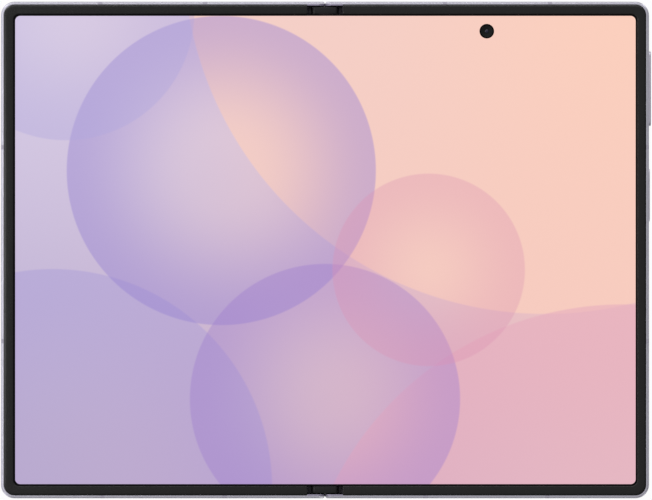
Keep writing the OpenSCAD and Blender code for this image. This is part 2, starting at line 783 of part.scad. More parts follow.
module cap_profile() {
    for (s = [-1, 1]) translate([s * axle_x, axle_z]) circle(r = 0.9);
    translate([-axle_x, axle_z - trough_in_r])
        square([2 * axle_x, cap_top_z - axle_z + trough_in_r - cap_round_r]);
    translate([-cap_half_w, axle_z]) square([2 * cap_half_w, cap_top_z - axle_z - cap_round_r]);
    translate([-cap_half_w + cap_round_r, axle_z])
        square([2 * (cap_half_w - cap_round_r), cap_top_z - axle_z]);
    for (s = [-1, 1])
        translate([s * (cap_half_w - cap_round_r), cap_top_z - cap_round_r]) circle(r = cap_round_r);
}

module spine_end_caps() {
    color([0.2, 0.2, 0.21]) half(1)
        for (y = [-spine_half_l, spine_half_l - cap_l]) along_y(y, y + cap_l) cap_profile();
}

module cheek_profile() {
    difference() {
        union() {
            for (s = [-1, 1]) translate([s * axle_x, axle_z]) circle(r = 1);
            translate([-axle_x, axle_z - trough_in_r])
                square([2 * axle_x, cheek_top_z - axle_z + trough_in_r]);
        }
        for (s = [-1, 1]) translate([s * axle_x, axle_z]) circle(r = axle_r);
        for (s = [-1, 1]) translate([s * idler_x, idler_z]) circle(r = idler_pin_r);
    }
}

module hinge_brackets() {
    color([0.5, 0.5, 0.53]) half(1) each_module() for (t = [cheek_a, cheek_b, cheek_c, cheek_d])
        along_y(t, t + cheek_t) cheek_profile();
}

module shafts() {
    each_module() rod_y(axle_x, axle_z, axle_r, cheek_a, cheek_a + shaft_l);
}

module right_shaft() {
    color([0.8, 0.8, 0.82]) half(1) shafts();
}

module left_shaft() {
    color([0.8, 0.8, 0.82]) half(-1) shafts();
}

module idler_pins() {
    color([0.8, 0.8, 0.82]) half(1) each_module() for (s = [-1, 1])
        rod_y(s * idler_x, idler_z, idler_pin_r, cheek_b, cheek_c + cheek_t);
}

module disc_springs() {
    color([0.55, 0.5, 0.4]) half(1) each_module() for (s = [-1, 1], i = [0:spring_count - 1])
        difference() {
            rod_y(s * axle_x, axle_z, spring_r, spring_a + i * spring_step,
                spring_a + i * spring_step + spring_t);
            rod_y(s * axle_x, axle_z, axle_r, spring_a - 1, collar_a + 1);
        }
}

module shaft_collars() {
    color([0.62, 0.62, 0.65]) half(1) each_module() for (s = [-1, 1])
        difference() {
            rod_y(s * axle_x, axle_z, spring_r, collar_a, collar_a + collar_t);
            rod_y(s * axle_x, axle_z, axle_r, collar_a - 1, collar_a + collar_t + 1);
        }
}

module idler_gears(phase) {
    each_module() translate([idler_x, gear_a + gear_t, idler_z]) rotate([90, 0, 0]) linear_extrude(gear_t)
        difference() {
            gear(mesh_angle + 180 + tooth_step / 2 + phase);
            circle(r = idler_pin_r + axle_clear);
        }
}

module right_idler_gears() {
    color([0.7, 0.62, 0.4]) half(1) idler_gears(0);
}

module left_idler_gears() {
    color([0.7, 0.62, 0.4]) half(-1) idler_gears(tooth_step / 2);
}

module wing_plate() {
    difference() {
        union() {
            box(wing_inner_x, wing_pivot_x, -wing_half_l, wing_half_l, wing_z, wing_z + wing_t);
            for (y = [-wing_half_l + 0.5, -bead_half_l, wing_half_l - 0.5 - bead_half_l])
                rod_y(wing_pivot_x, wing_pivot_z, wing_bead_r, y, y + bead_half_l);
        }
        each_module()
            box(wing_inner_x - 1, channel_x + 2.4, -pocket_half_l, pocket_half_l, wing_z - 1, wing_z + 1);
    }
}

module right_wing_plate() {
    color([0.5, 0.5, 0.52]) half(1) wing_plate();
}

module left_wing_plate() {
    color([0.5, 0.5, 0.52]) half(-1) wing_plate();
}

module display_fold() {
    color([0.92, 0.8, 0.84]) half(1)
        box(-bend_half_w, bend_half_w, -bend_half_l, bend_half_l, panel_z, panel_top_z);
}

// ---- Left half ----

module left_frame() {
    color([0.74, 0.73, 0.78]) half(-1) difference() {
        frame_body(band_x_top, band_x_bottom);
        box(half_w - wall_t - eps, half_w + 1,
            tray_y - tray_w / 2 - tray_clear, tray_y + tray_w / 2 + tray_clear,
            tray_z - tray_t / 2 - tray_clear, tray_z + tray_t / 2 + tray_clear);
        grille(screen_cam_x - ear_grille_from_cam, 5, 1, edge_mid_z);
        grille(screen_cam_x, 1, -1, edge_mid_z);
    }
}

module left_bezel() {
    color([0.16, 0.16, 0.16]) half(-1) bezel();
}

module left_antenna_bands() {
    color([0.6, 0.58, 0.64]) half(-1) antenna_bands(band_x_top, band_x_bottom);
}

module cover_glass() {
    color([0.05, 0.05, 0.06]) half(-1) slab(glass_from_fold + 0.05, half_w - glass_inset - 0.05,
        half_h - glass_inset - 0.05, 0, corner_r - glass_inset - 0.05, 0, glass_t);
}

module cover_display() {
    color([0.1, 0.1, 0.12]) half(-1) difference() {
        slab(space_x + 0.2, half_w - cover_panel_inset, half_h - cover_panel_inset, 0,
             corner_r - cover_panel_inset, glass_t, glass_t + cover_panel_t);
        translate([screen_cam_x, screen_cam_y, 0]) cylinder(d = cover_cam_d + 0.3, h = 3);
    }
}

module cover_camera() {
    color([0.08, 0.08, 0.1]) half(-1) translate([screen_cam_x, screen_cam_y, 0]) {
        translate([0, 0, glass_t]) cylinder(d = cover_cam_d, h = cover_panel_t + 0.1);
        translate([-cam_block_w / 2, -cam_block_l / 2, left_floor_z])
            cube([cam_block_w, cam_block_l, plate_z - left_floor_z]);
    }
}

module display_left() {
    color([0.85, 0.78, 0.9]) half(-1) display_half(false);
}

module left_battery() {
    color([0.12, 0.12, 0.13]) half(-1) box(battery_x, battery_x + left_battery_w,
        left_battery_y0, left_battery_y1, left_floor_z, plate_z - 0.1);
}

module left_board() {
    color([0.1, 0.3, 0.2]) half(-1) difference() {
        box(battery_x, half_w - wall_t - 3, left_board_y, space_half_h - 0.1, left_floor_z,
            left_floor_z + board_t);
        cam_block_cut(left_floor_z);
    }
}

module top_speaker() {
    color([0.15, 0.15, 0.16]) half(-1)
        box(screen_cam_x - ear_grille_from_cam, screen_cam_x - ear_speaker_from_cam,
            space_half_h - ear_speaker_l, space_half_h - inner_gap, left_floor_z + board_t, plate_z - 0.1);
}

module left_magnets() {
    color([0.55, 0.55, 0.58]) half(-1)
        magnets([-half_h + magnet_from_edge, left_battery_y0 + part_gap], left_floor_z);
}

module left_hinge_arms() {
    color([0.6, 0.6, 0.64]) half(-1) hinge_arms(tooth_step / 2);
}

module left_hinge_screws() {
    color([0.4, 0.4, 0.42]) half(-1) hinge_screws();
}

module sim_tray() {
    color([0.72, 0.71, 0.76]) half(-1) difference() {
        box(half_w - tray_l, half_w, tray_y - tray_w / 2, tray_y + tray_w / 2,
            tray_z - tray_t / 2, tray_z + tray_t / 2);
        box(half_w - tray_l + 1, half_w - wall_t - 0.6, tray_y - tray_w / 2 + 1, tray_y + tray_w / 2 - 1,
            tray_z - tray_t / 2 + 0.3, tray_z + 2);
        translate([half_w - 2, tray_y + tray_w / 2 - 1.6, tray_z])
            rotate([0, 90, 0]) cylinder(d = 0.8, h = 4);
    }
}

right_frame();
right_bezel();
right_antenna_bands();
rear_glass();
camera_island();
camera_lens_rings();
camera_lens_glass();
rear_camera_modules();
flash_lens();
display_right();
inner_camera();
right_battery();
main_board();
shield_cans();
usb_board();
usb_shell();
usb_tongue();
bottom_speaker();
haptic_motor();
vapor_chamber();
charging_coil();
key_switches();
right_magnets();
right_hinge_arms();
right_hinge_screws();
volume_key();
power_key();
fingerprint_sensor();
spine_cover();
spine_end_caps();
hinge_brackets();
left_shaft();
right_shaft();
idler_pins();
disc_springs();
shaft_collars();
right_idler_gears();
left_idler_gears();
right_wing_plate();
left_wing_plate();
display_fold();
left_frame();
left_bezel();
left_antenna_bands();
cover_glass();
cover_display();
cover_camera();
display_left();
left_battery();
left_board();
top_speaker();
left_magnets();
left_hinge_arms();
left_hinge_screws();
sim_tray();
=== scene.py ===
"""Looks of a folding phone, opened flat and seen straight from above its inner screen.

Shapes are worked out in millimetres in the phone's own frame, where z = 0 is the flat back:
+X points across the fold towards the side keys, +Y along the fold towards the screen camera,
and +Z out of the inner screen. Surface.place() turns them into metres of the shared frame.
"""

from __future__ import annotations

import logging
import math
from dataclasses import dataclass
from enum import Enum
from typing import Callable, Mapping, Sequence

import bmesh
import bpy
import numpy as np
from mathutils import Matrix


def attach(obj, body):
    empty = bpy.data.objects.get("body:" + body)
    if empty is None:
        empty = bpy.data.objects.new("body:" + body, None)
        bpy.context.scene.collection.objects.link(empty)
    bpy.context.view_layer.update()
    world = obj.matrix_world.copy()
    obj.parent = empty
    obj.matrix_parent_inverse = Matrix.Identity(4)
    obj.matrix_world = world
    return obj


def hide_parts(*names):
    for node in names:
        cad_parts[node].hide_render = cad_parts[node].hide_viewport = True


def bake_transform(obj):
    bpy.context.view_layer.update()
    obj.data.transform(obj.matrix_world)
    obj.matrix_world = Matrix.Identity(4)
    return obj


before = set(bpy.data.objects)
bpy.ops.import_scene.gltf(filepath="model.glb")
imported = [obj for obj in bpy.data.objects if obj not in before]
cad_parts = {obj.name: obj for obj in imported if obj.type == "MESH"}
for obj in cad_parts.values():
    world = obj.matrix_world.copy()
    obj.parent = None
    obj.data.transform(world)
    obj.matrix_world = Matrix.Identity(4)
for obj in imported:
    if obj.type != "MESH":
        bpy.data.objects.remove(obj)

LOG = logging.getLogger("folding_phone")
Loop = np.ndarray
Rings = list[tuple[Loop, float]]
Pair = tuple[float, float]
Triple = tuple[float, float, float]
Rgb = tuple[int, int, int]
Thing = bpy.types.Object

MM = 0.001
QUARTER = 0.5 * math.pi
SMOOTH_ANGLE = math.radians(38.0)
MERGE_REACH = 1e-7
CIRCLE_STEPS = 72
LEAST_CORNER = 0.02
FLAT_RING = 0.04
GRAIN_DEPTH = 0.02 * MM
COAT_ROUGHNESS = 0.05


class Side(Enum):
    """The two halves, by the sign of x that they lie on."""

    RIGHT = 1
    LEFT = -1

    @property
    def word(self) -> str:
        """Lower-case name, as the CAD nodes start with."""
        return self.name.lower()

    @property
    def body(self) -> str:
        """Name of the CAD body that the half moves with."""
        return f"{self.word}_half"


@dataclass(frozen=True)
class Body:
    """Main sizes of the opened phone, in millimetres."""

    half_w: float = 80.7
    half_h: float = 61.85
    seam_x: float = 0.05
    corner_r: float = 3.4
    seam_corner_r: float = 0.6
    rim_show: float = 0.7
    rim_top: float = 4.7
    bezel_top: float = 4.9
    panel_top: float = 4.5
    panel_bottom: float = 4.0
    channel_x: float = 4.45
    screen_inset: float = 3.4
    screen_corner: float = 1.25
    island_rise: float = 1.4
    glass_inset: float = 1.25
    glass_t: float = 0.5
    glass_from_fold: float = 6.55
    glass_seam_r: float = 0.12
    glass_edges: Pair = (0.3, 0.03)
    screen_drop: float = 0.14
    screen_shift: Pair = (-0.06, 0.145)
    axle: Pair = (2.35, 2.6)
    spine_half_l: float = 60.6
    cap_l: float = 1.8
    key_z: float = 2.35
    screen_cam: Pair = (40.3, 54.5)
    screen_cam_r: float = 1.83
    island: Pair = (66.2, 33.85)
    island_size: Pair = (19.0, 46.0)
    lens_y: Pair = (46.35, 30.35)
    flash_y: float = 17.85


PHONE = Body()


# ---- Shapes ----


def rounded_rect(
    x0: float, x1: float, y0: float, y1: float, radii: Sequence[float], steps: int = 10
) -> Loop:
    """Closed loop of a rectangle whose four corners are quarter circles.

    Point = corner centre + radius * (cos t, sin t), with t over a quarter turn at each corner.

    Args:
        x0: Left side.
        x1: Right side.
        y0: Lower side.
        y1: Upper side.
        radii: Radius at the upper right, upper left, lower left and lower right corner.
        steps: Points on each corner.

    Returns:
        Array of (4 * steps, 2) points, counter-clockwise.
    """
    r = np.maximum(np.asarray(radii, float), LEAST_CORNER)
    cx = np.array([x1 - r[0], x0 + r[1], x0 + r[2], x1 - r[3]])
    cy = np.array([y1 - r[0], y1 - r[1], y0 + r[2], y0 + r[3]])
    turn = np.linspace(0.0, QUARTER, steps)[None, :] + QUARTER * np.arange(4)[:, None]
    x = cx[:, None] + r[:, None] * np.cos(turn)
    y = cy[:, None] + r[:, None] * np.sin(turn)
    return np.stack([x.ravel(), y.ravel()], axis=1)


def half_rect(
    side: Side, x_in: float, x_out: float, y_out: float, corner: float, seam_corner: float
) -> Loop:
    """Rounded rectangle on one half, from near the fold to near the rim.

    Args:
        side: The half.
        x_in: Distance of its inner side from the fold.
        x_out: Distance of its outer side from the fold.
        y_out: Half of its length along the fold.
        corner: Radius of the two outer corners.
        seam_corner: Radius of the two corners at the fold.

    Returns:
        Closed counter-clockwise loop.
    """
    if side is Side.RIGHT:
        return rounded_rect(x_in, x_out, -y_out, y_out, (corner, seam_corner, seam_corner, corner))
    return rounded_rect(-x_out, -x_in, -y_out, y_out, (seam_corner, corner, corner, seam_corner))


def circle(cx: float, cy: float, radius: float) -> Loop:
    """Closed loop of a circle: centre + radius * (cos t, sin t)."""
    turn = np.linspace(0.0, 2.0 * math.pi, CIRCLE_STEPS, endpoint=False)
    return np.stack([cx + radius * np.cos(turn), cy + radius * np.sin(turn)], axis=1)


def corner_arc(cx: float, cy: float, radius: float, steps: int) -> Loop:
    """Upper right corner, drawn clockwise: centre + radius * (cos t, sin t), t a quarter turn to 0."""
    turn = np.linspace(QUARTER, 0.0, steps)
    return np.stack([cx + radius * np.cos(turn), cy + radius * np.sin(turn)], axis=1)


def edge_rings(
    loop_at: Callable[[float], Loop], z0: float, z1: float, r0: float, r1: float, steps: int = 5
) -> Rings:
    """Rings of a plate whose lower and upper edges are quarter rounds.

    Lower edge: inset = r0 (1 - sin t), z = z0 + r0 (1 - cos t). Upper edge: inset = r1 (1 - cos t),
    z = z1 - r1 (1 - sin t), with t from 0 to a quarter turn. One more ring lies on each flat face
    just inside its round, so that the face is shaded flat.

    Args:
        loop_at: Gives the plan loop for an inset.
        z0: Lowest height.
        z1: Highest height.
        r0: Radius of the lower edge.
        r1: Radius of the upper edge.
        steps: Rings on each round.

    Returns:
        Loops with their heights, from the lowest to the highest.
    """
    turn = np.linspace(0.0, QUARTER, steps)
    low = zip(r0 * (1.0 - np.sin(turn)), z0 + r0 * (1.0 - np.cos(turn)))
    high = zip(r1 * (1.0 - np.cos(turn)), z1 - r1 * (1.0 - np.sin(turn)))
    first, last = ((r + min(FLAT_RING, 0.5 * r), z) for r, z in ((r0, z0), (r1, z1)))
    return [(loop_at(float(inset)), float(z)) for inset, z in [first, *low, *high, last]]


def carried(profile: Sequence[Pair], path_at: Callable[[float], Loop]) -> np.ndarray:
    """Carries an (inset, height) profile along the paths at its insets.

    Args:
        profile: Insets and heights.
        path_at: Gives the plan path for an inset.

    Returns:
        Array of (stations, profile points, 3).
    """
    plan = np.stack([path_at(inset) for inset, _ in profile], axis=1)
    heights = np.broadcast_to([z for _, z in profile], plan.shape[:2])
    return np.concatenate([plan, heights[..., None]], axis=2)


def dome(
    radius: float, foot: float, start: float, rise: float, stop: float = 0.06, steps: int = 9
) -> list[Pair]:
    """Profile of a lens: a foot, then r = radius cos t and z = start + rise sin t.

    Args:
        radius: Largest radius.
        foot: Height of the hidden foot.
        start: Height where the curve starts.
        rise: Height of the whole curve; negative on the back.
        stop: Angle left open at the top.
        steps: Points on the curve.

    Returns:
        Radii and heights.
    """
    turn = np.linspace(0.0, QUARTER - stop, steps)
    return [(radius, foot), *zip(radius * np.cos(turn), start + rise * np.sin(turn))]


class Surface:
    """Makes mesh objects out of rings of points."""

    @staticmethod
    def place(points: np.ndarray) -> np.ndarray:
        """Phone millimetres to metres of the shared frame: z is raised by the camera island."""
        lifted = np.asarray(points, float).reshape(-1, 3) + (0.0, 0.0, PHONE.island_rise)
        return lifted * MM

    @staticmethod
    def quads(index: np.ndarray, wrap: bool) -> np.ndarray:
        """Four-sided faces between neighbouring rows of a grid of vertex numbers.

        Args:
            index: Vertex numbers, one row for each ring; rows close on themselves.
            wrap: True joins the last row to the first.

        Returns:
            Array of (faces, 4) vertex numbers.
        """
        after = np.roll(index, -1, axis=1)
        down = np.roll(index, -1, axis=0)
        down_after = np.roll(after, -1, axis=0)
        grid = np.stack([index, after, down_after, down], axis=-1)
        return (grid if wrap else grid[:-1]).reshape(-1, 4)

    @classmethod
    def build(cls, name: str, points: np.ndarray, faces: list[list[int]]) -> Thing:
        """Mesh object from points in phone millimetres, with its normals turned outwards.

        Args:
            name: Name of the piece.
            points: (n, 3) points.
            faces: Vertex numbers of each face.

        Returns:
            The new object, at the origin.
        """
        mesh = bpy.data.meshes.new(name)
        mesh.from_pydata(cls.place(points).tolist(), [], faces)
        bm = bmesh.new()
        bm.from_mesh(mesh)
        bmesh.ops.remove_doubles(bm, verts=bm.verts, dist=MERGE_REACH)
        bmesh.ops.recalc_face_normals(bm, faces=bm.faces)
        bm.to_mesh(mesh)
        bm.free()
        mesh.shade_smooth()
        mesh.set_sharp_from_angle(angle=SMOOTH_ANGLE)
        return cls.linked(name, mesh)

    @staticmethod
    def linked(name: str, data: bpy.types.ID) -> Thing:
        """New object in the scene, around a mesh, a lamp or a camera."""
        made = bpy.data.objects.new(name, data)
        bpy.context.scene.collection.objects.link(made)
        return made

    @classmethod
    def lofted(cls, name: str, rings: np.ndarray, wrap: bool = False) -> Thing:
        """Skin over rings of equal length: vertex = rings[i, j], closed along j.

        Args:
            name: Name of the piece.
            rings: (m, n, 3) points.
            wrap: True closes the skin along i too; otherwise both ends get a cap.

        Returns:
            The new object.
        """
        count, length = rings.shape[:2]
        index = np.arange(count * length).reshape(count, length)
        faces = cls.quads(index, wrap).tolist()
        if not wrap:
            faces += [index[0].tolist(), index[-1].tolist()]
        return cls.build(name, rings, faces)

    @classmethod
    def along_x(
        cls, name: str, xs: Sequence[float], sections: Sequence[np.ndarray], flip: Pair = (1, 1)
    ) -> Thing:
        """Skin over (y, z) sections at places along x.

        Args:
            name: Name of the piece.
            xs: Place of each section.
            sections: Closed loops of equal length.
            flip: Signs that x and y are multiplied by.

        Returns:
            The new object.
        """
        rings = [np.c_[np.full(len(loop), x), loop] * (*flip, 1.0) for x, loop in zip(xs, sections)]
        return cls.lofted(name, np.stack(rings))

    @classmethod
    def plate(cls, name: str, outer: Rings, holes: Sequence[Rings] = ()) -> Thing:
        """Plate with walls over its outer rings and round each hole, and flat faces between them.

        Args:
            name: Name of the piece.
            outer: Outer loops with heights, lowest first.
            holes: The same for each hole through the plate.

        Returns:
            The new object.
        """
        points, faces, rims, start = [], [], [], 0
        for rings in (outer, *holes):
            stack = np.stack([np.c_[loop, np.full(len(loop), z)] for loop, z in rings])
            index = start + np.arange(stack.shape[0] * stack.shape[1]).reshape(stack.shape[:2])
            points.append(stack.reshape(-1, 3))
            faces += cls.quads(index, False).tolist()
            rims.append((index[0], index[-1]))
            start += index.size
        flat = np.concatenate(points)
        if not holes:
            return cls.build(name, flat, faces + [rim.tolist() for rim in rims[0]])
        for level in (0, 1):
            faces += cls.filled(flat, [rim[level] for rim in rims])
        return cls.build(name, flat, faces)

    @staticmethod
    def filled(points: np.ndarray, loops: list[np.ndarray]) -> list[list[int]]:
        """Triangles of a flat face between an outer loop and the loops of its holes.

        Args:
            points: All the points of the piece.
            loops: Vertex numbers of the outer loop and then of each hole.

        Returns:
            Vertex numbers of each triangle.
        """
        bm = bmesh.new()
        numbers = np.concatenate(loops)
        verts = [bm.verts.new(point) for point in points[numbers]]
        edges, start = [], 0
        for size in map(len, loops):
            ring = verts[start:start + size]
            edges += [bm.edges.new(pair) for pair in zip(ring, ring[1:] + ring[:1])]
            start += size
        bm.verts.index_update()
        bmesh.ops.triangle_fill(bm, use_beauty=True, use_dissolve=False, edges=edges)
        bm.verts.index_update()
        triangles = [[int(numbers[v.index]) for v in face.verts] for face in bm.faces]
        bm.free()
        return triangles

    @classmethod
    def turned(cls, name: str, centre: Pair, profile: Sequence[Pair], wrap: bool = False) -> Thing:
        """Turned shape: point = (cx + r cos t, cy + r sin t, z) for each (r, z) of the profile.

        Args:
            name: Name of the piece.
            centre: Axis in plan.
            profile: Radii and heights.
            wrap: True for a ring, whose profile closes on itself.

        Returns:
            The new object.
        """
        rings = [np.c_[circle(*centre, r), np.full(CIRCLE_STEPS, z)] for r, z in profile]
        return cls.lofted(name, np.stack(rings), wrap)

    @classmethod
    def outer_pane(cls, name: str, side: Side, hole: Loop) -> Thing:
        """Pane on one half's outer face, rounded along its edge, with one hole.

        Args:
            name: Name of the piece.
            side: The half.
            hole: Plan loop of the hole.

        Returns:
            The new object.
        """

        def outline(inset: float) -> Loop:
            """Outline of the pane at an inset."""
            off = PHONE.glass_inset + inset
            corner = PHONE.corner_r - PHONE.glass_inset - inset
            return half_rect(side, PHONE.glass_from_fold + inset, PHONE.half_w - off,
                             PHONE.half_h - off, corner, PHONE.glass_seam_r)

        outer = edge_rings(outline, 0.0, PHONE.glass_t, *PHONE.glass_edges)
        return cls.plate(name, outer, [[(hole, 0.0), (hole, PHONE.glass_t)]])


# ---- Finishes ----


def linear(colour: Rgb) -> tuple[float, float, float, float]:
    """Scene-linear colour of an sRGB one given as three numbers of 0 to 255."""
    share = np.asarray(colour, float) / 255.0
    value = np.where(share <= 0.04045, share / 12.92, ((share + 0.055) / 1.055) ** 2.4)
    return (*value.tolist(), 1.0)


class Nodes:
    """Short ways to add and join shader nodes in one tree."""

    def __init__(self, tree: bpy.types.NodeTree) -> None:
        """Keeps the tree that the nodes go into."""
        self.tree = tree

    def feed(self, node: bpy.types.Node, values: Mapping[str | int, object]) -> bpy.types.Node:
        """Fills inputs of a node, by name or number.

        Args:
            node: The node.
            values: For each input a socket to join or a value to set.

        Returns:
            The same node.
        """
        for key, value in values.items():
            if isinstance(value, bpy.types.NodeSocket):
                self.tree.links.new(value, node.inputs[key])
            else:
                node.inputs[key].default_value = value
        return node

    def add(
        self, kind: str, values: Mapping[str | int, object] | None = None, **settings: object
    ) -> bpy.types.Node:
        """New node of a kind.

        Args:
            kind: Node type.
            values: What its inputs get, as in feed().
            **settings: Attributes to set on it.

        Returns:
            The node.
        """
        node = self.tree.nodes.new(kind)
        for key, value in settings.items():
            setattr(node, key, value)
        return self.feed(node, values or {})

    def maths(self, operation: str, *values: object) -> bpy.types.NodeSocket:
        """Output of a Math node whose inputs are sockets or numbers."""
        return self.add("ShaderNodeMath", dict(enumerate(values)), operation=operation).outputs[0]

    def vector(self, operation: str, *values: object) -> bpy.types.Node:
        """Vector Math node whose inputs are sockets or vectors."""
        return self.add("ShaderNodeVectorMath", dict(enumerate(values)), operation=operation)

    def rise(
        self, value: bpy.types.NodeSocket, values: Mapping[str, object] | None = None
    ) -> bpy.types.NodeSocket:
        """Smooth step of a value, over 0 to 1 unless other ends are given."""
        node = self.add("ShaderNodeMapRange", {"Value": value}, interpolation_type="SMOOTHSTEP")
        return self.feed(node, values or {}).outputs["Result"]

    def mixed(self, factor: object, first: object, second: object) -> bpy.types.NodeSocket:
        """Colour between two, by a mask: 0 gives the first colour and 1 the second."""
        node = self.add("ShaderNodeMix", data_type="RGBA")
        colours = [number for number, slot in enumerate(node.inputs) if slot.type == "RGBA"]
        self.feed(node, {"Factor": factor, colours[0]: first, colours[1]: second})
        return next(slot for slot in node.outputs if slot.type == "RGBA")

    @classmethod
    def material(cls, name: str) -> tuple[bpy.types.Material, Nodes, bpy.types.Node]:
        """New material, with its nodes and its Principled shader."""
        made = bpy.data.materials.new(name)
        made.use_nodes = True
        return made, cls(made.node_tree), made.node_tree.nodes["Principled BSDF"]


class Groups:
    """Effects that several finishes share, each built once."""

    @staticmethod
    def start(
        name: str, inputs: Mapping[str, object], outputs: Mapping[str, str]
    ) -> tuple[Nodes, Mapping[str, bpy.types.NodeSocket], bpy.types.Node]:
        """Empty node group with its sockets.

        Args:
            name: Name of the group.
            inputs: Default of each input; four numbers make a colour and three a vector.
            outputs: Socket type of each output.

        Returns:
            The nodes, the sockets that the group is given, and its output node.
        """
        tree = bpy.data.node_groups.new(name, "ShaderNodeTree")
        for label, default in inputs.items():
            kinds = {4: "NodeSocketColor", 3: "NodeSocketVector"}
            kind = kinds.get(np.size(default), "NodeSocketFloat")
            socket = tree.interface.new_socket(label, in_out="INPUT", socket_type=kind)
            socket.default_value = default
        for label, kind in outputs.items():
            tree.interface.new_socket(label, in_out="OUTPUT", socket_type=kind)
        given = tree.nodes.new("NodeGroupInput").outputs
        return Nodes(tree), given, tree.nodes.new("NodeGroupOutput")

    @classmethod
    def grain(cls) -> bpy.types.NodeTree:
        """Fine grain and broad unevenness over a surface, made on first use.

        Colour = colour * (1 + vary * (broad noise + fine noise - 1)), roughness = roughness plus
        the same swing by its own share, height = fine noise.
        """
        return bpy.data.node_groups.get("surface_grain") or cls.make_grain()

    @classmethod
    def make_grain(cls) -> bpy.types.NodeTree:
        """Builds the group of grain()."""
        nodes, given, result = cls.start(
            "surface_grain",
            {"Colour": (0.5, 0.5, 0.5, 1.0), "Vary": 0.1, "Roughness": 0.4, "Rough Vary": 0.1,
             "Fine Scale": 5000.0, "Broad Scale": 60.0, "Stretch": (1.0, 1.0, 1.0)},
            {"Colour": "NodeSocketColor", "Roughness": "NodeSocketFloat",
             "Height": "NodeSocketFloat"},
        )
        place = nodes.add("ShaderNodeTexCoord").outputs["Object"]
        stretched = nodes.vector("MULTIPLY", place, given["Stretch"]).outputs[0]
        fine = nodes.add(
            "ShaderNodeTexNoise", {"Detail": 3.0, "Vector": stretched, "Scale": given["Fine Scale"]}
        ).outputs["Fac"]
        broad = nodes.add(
            "ShaderNodeTexNoise", {"Detail": 4.0, "Vector": place, "Scale": given["Broad Scale"]}
        ).outputs["Fac"]
        swing = nodes.maths("SUBTRACT", nodes.maths("ADD", broad, fine), 1.0)
        shade = nodes.maths("MULTIPLY_ADD", swing, given["Vary"], 1.0)
        tinted = nodes.add("ShaderNodeVectorMath", operation="SCALE")
        nodes.feed(tinted, {0: given["Colour"], "Scale": shade})
        rough = nodes.maths("MULTIPLY_ADD", swing, given["Rough Vary"], given["Roughness"])
        nodes.feed(result, {"Colour": tinted.outputs[0], "Roughness": rough, "Height": fine})
        return nodes.tree

    @classmethod
    def soft_disc(cls) -> bpy.types.NodeTree:
        """Mask of a large soft disc on the screen's own map, made on first use.

        Distance d = |(uv - centre) * aspect|; the mask rises over Edge at the Radius, and fades
        inwards down to Core.
        """
        return bpy.data.node_groups.get("soft_disc") or cls.make_disc()

    @classmethod
    def make_disc(cls) -> bpy.types.NodeTree:
        """Builds the group of soft_disc()."""
        nodes, given, result = cls.start(
            "soft_disc",
            {"Centre": (0.5, 0.5, 0.0), "Radius": 0.3, "Edge": 0.01, "Depth": 0.3, "Core": 0.0},
            {"Mask": "NodeSocketFloat"},
        )
        uv = nodes.add("ShaderNodeUVMap", uv_map="screen_map").outputs["UV"]
        offset = nodes.vector("SUBTRACT", uv, given["Centre"]).outputs[0]
        aspect = (1.0, PHONE.half_h / PHONE.half_w, 0.0)
        scaled = nodes.vector("MULTIPLY", offset, aspect).outputs[0]
        distance = nodes.vector("LENGTH", scaled).outputs["Value"]
        depth = nodes.maths("SUBTRACT", given["Radius"], distance)
        inside = nodes.rise(depth, {"From Max": given["Edge"]})
        fade = {"To Min": 1.0, "From Max": given["Depth"], "To Max": given["Core"]}
        mask = nodes.maths("MULTIPLY", inside, nodes.rise(depth, fade))
        nodes.feed(result, {"Mask": mask})
        return nodes.tree


class Paint:
    """Anything that makes one material under its own name."""

    name: str

    def material(self) -> bpy.types.Material:
        """The material, made on first use."""
        return bpy.data.materials.get(self.name) or self.make()

    def make(self) -> bpy.types.Material:
        """Builds the material."""
        raise NotImplementedError


@dataclass(frozen=True)
class Finish(Paint):
    """A surface finish with grain, unevenness and gloss."""

    name: str
    colour: Rgb
    roughness: float
    metallic: float = 0.0
    vary: float = 0.06
    rough_vary: float = 0.12
    fine_scale: float = 6000.0
    broad_scale: float = 70.0
    bump: float = 0.1
    stretch: Triple = (1.0, 1.0, 1.0)
    coat: float = 0.0
    specular: float = 0.5

    def make(self) -> bpy.types.Material:
        """Builds the material: grain into colour, roughness and bump of one shader."""
        made, nodes, shader = Nodes.material(self.name)
        settings = {
            "Colour": linear(self.colour), "Vary": self.vary, "Roughness": self.roughness,
            "Rough Vary": self.rough_vary, "Fine Scale": self.fine_scale,
            "Broad Scale": self.broad_scale, "Stretch": self.stretch,
        }
        grain = nodes.add("ShaderNodeGroup", node_tree=Groups.grain())
        nodes.feed(grain, settings)
        relief = {"Strength": self.bump, "Distance": GRAIN_DEPTH, "Height": grain.outputs["Height"]}
        nodes.feed(shader, {
            "Base Color": grain.outputs["Colour"],
            "Roughness": grain.outputs["Roughness"],
            "Normal": nodes.add("ShaderNodeBump", relief).outputs["Normal"],
            "Metallic": self.metallic,
            "Specular IOR Level": self.specular,
            "Coat Weight": self.coat,
            "Coat Roughness": COAT_ROUGHNESS,
        })
        return made


@dataclass(frozen=True)
class Glow:
    """One large translucent disc of the screen's picture."""

    centre: Pair
    radius: float
    colour: Rgb
    strength: float
    depth: float
    core: float
    edge: float = 0.003


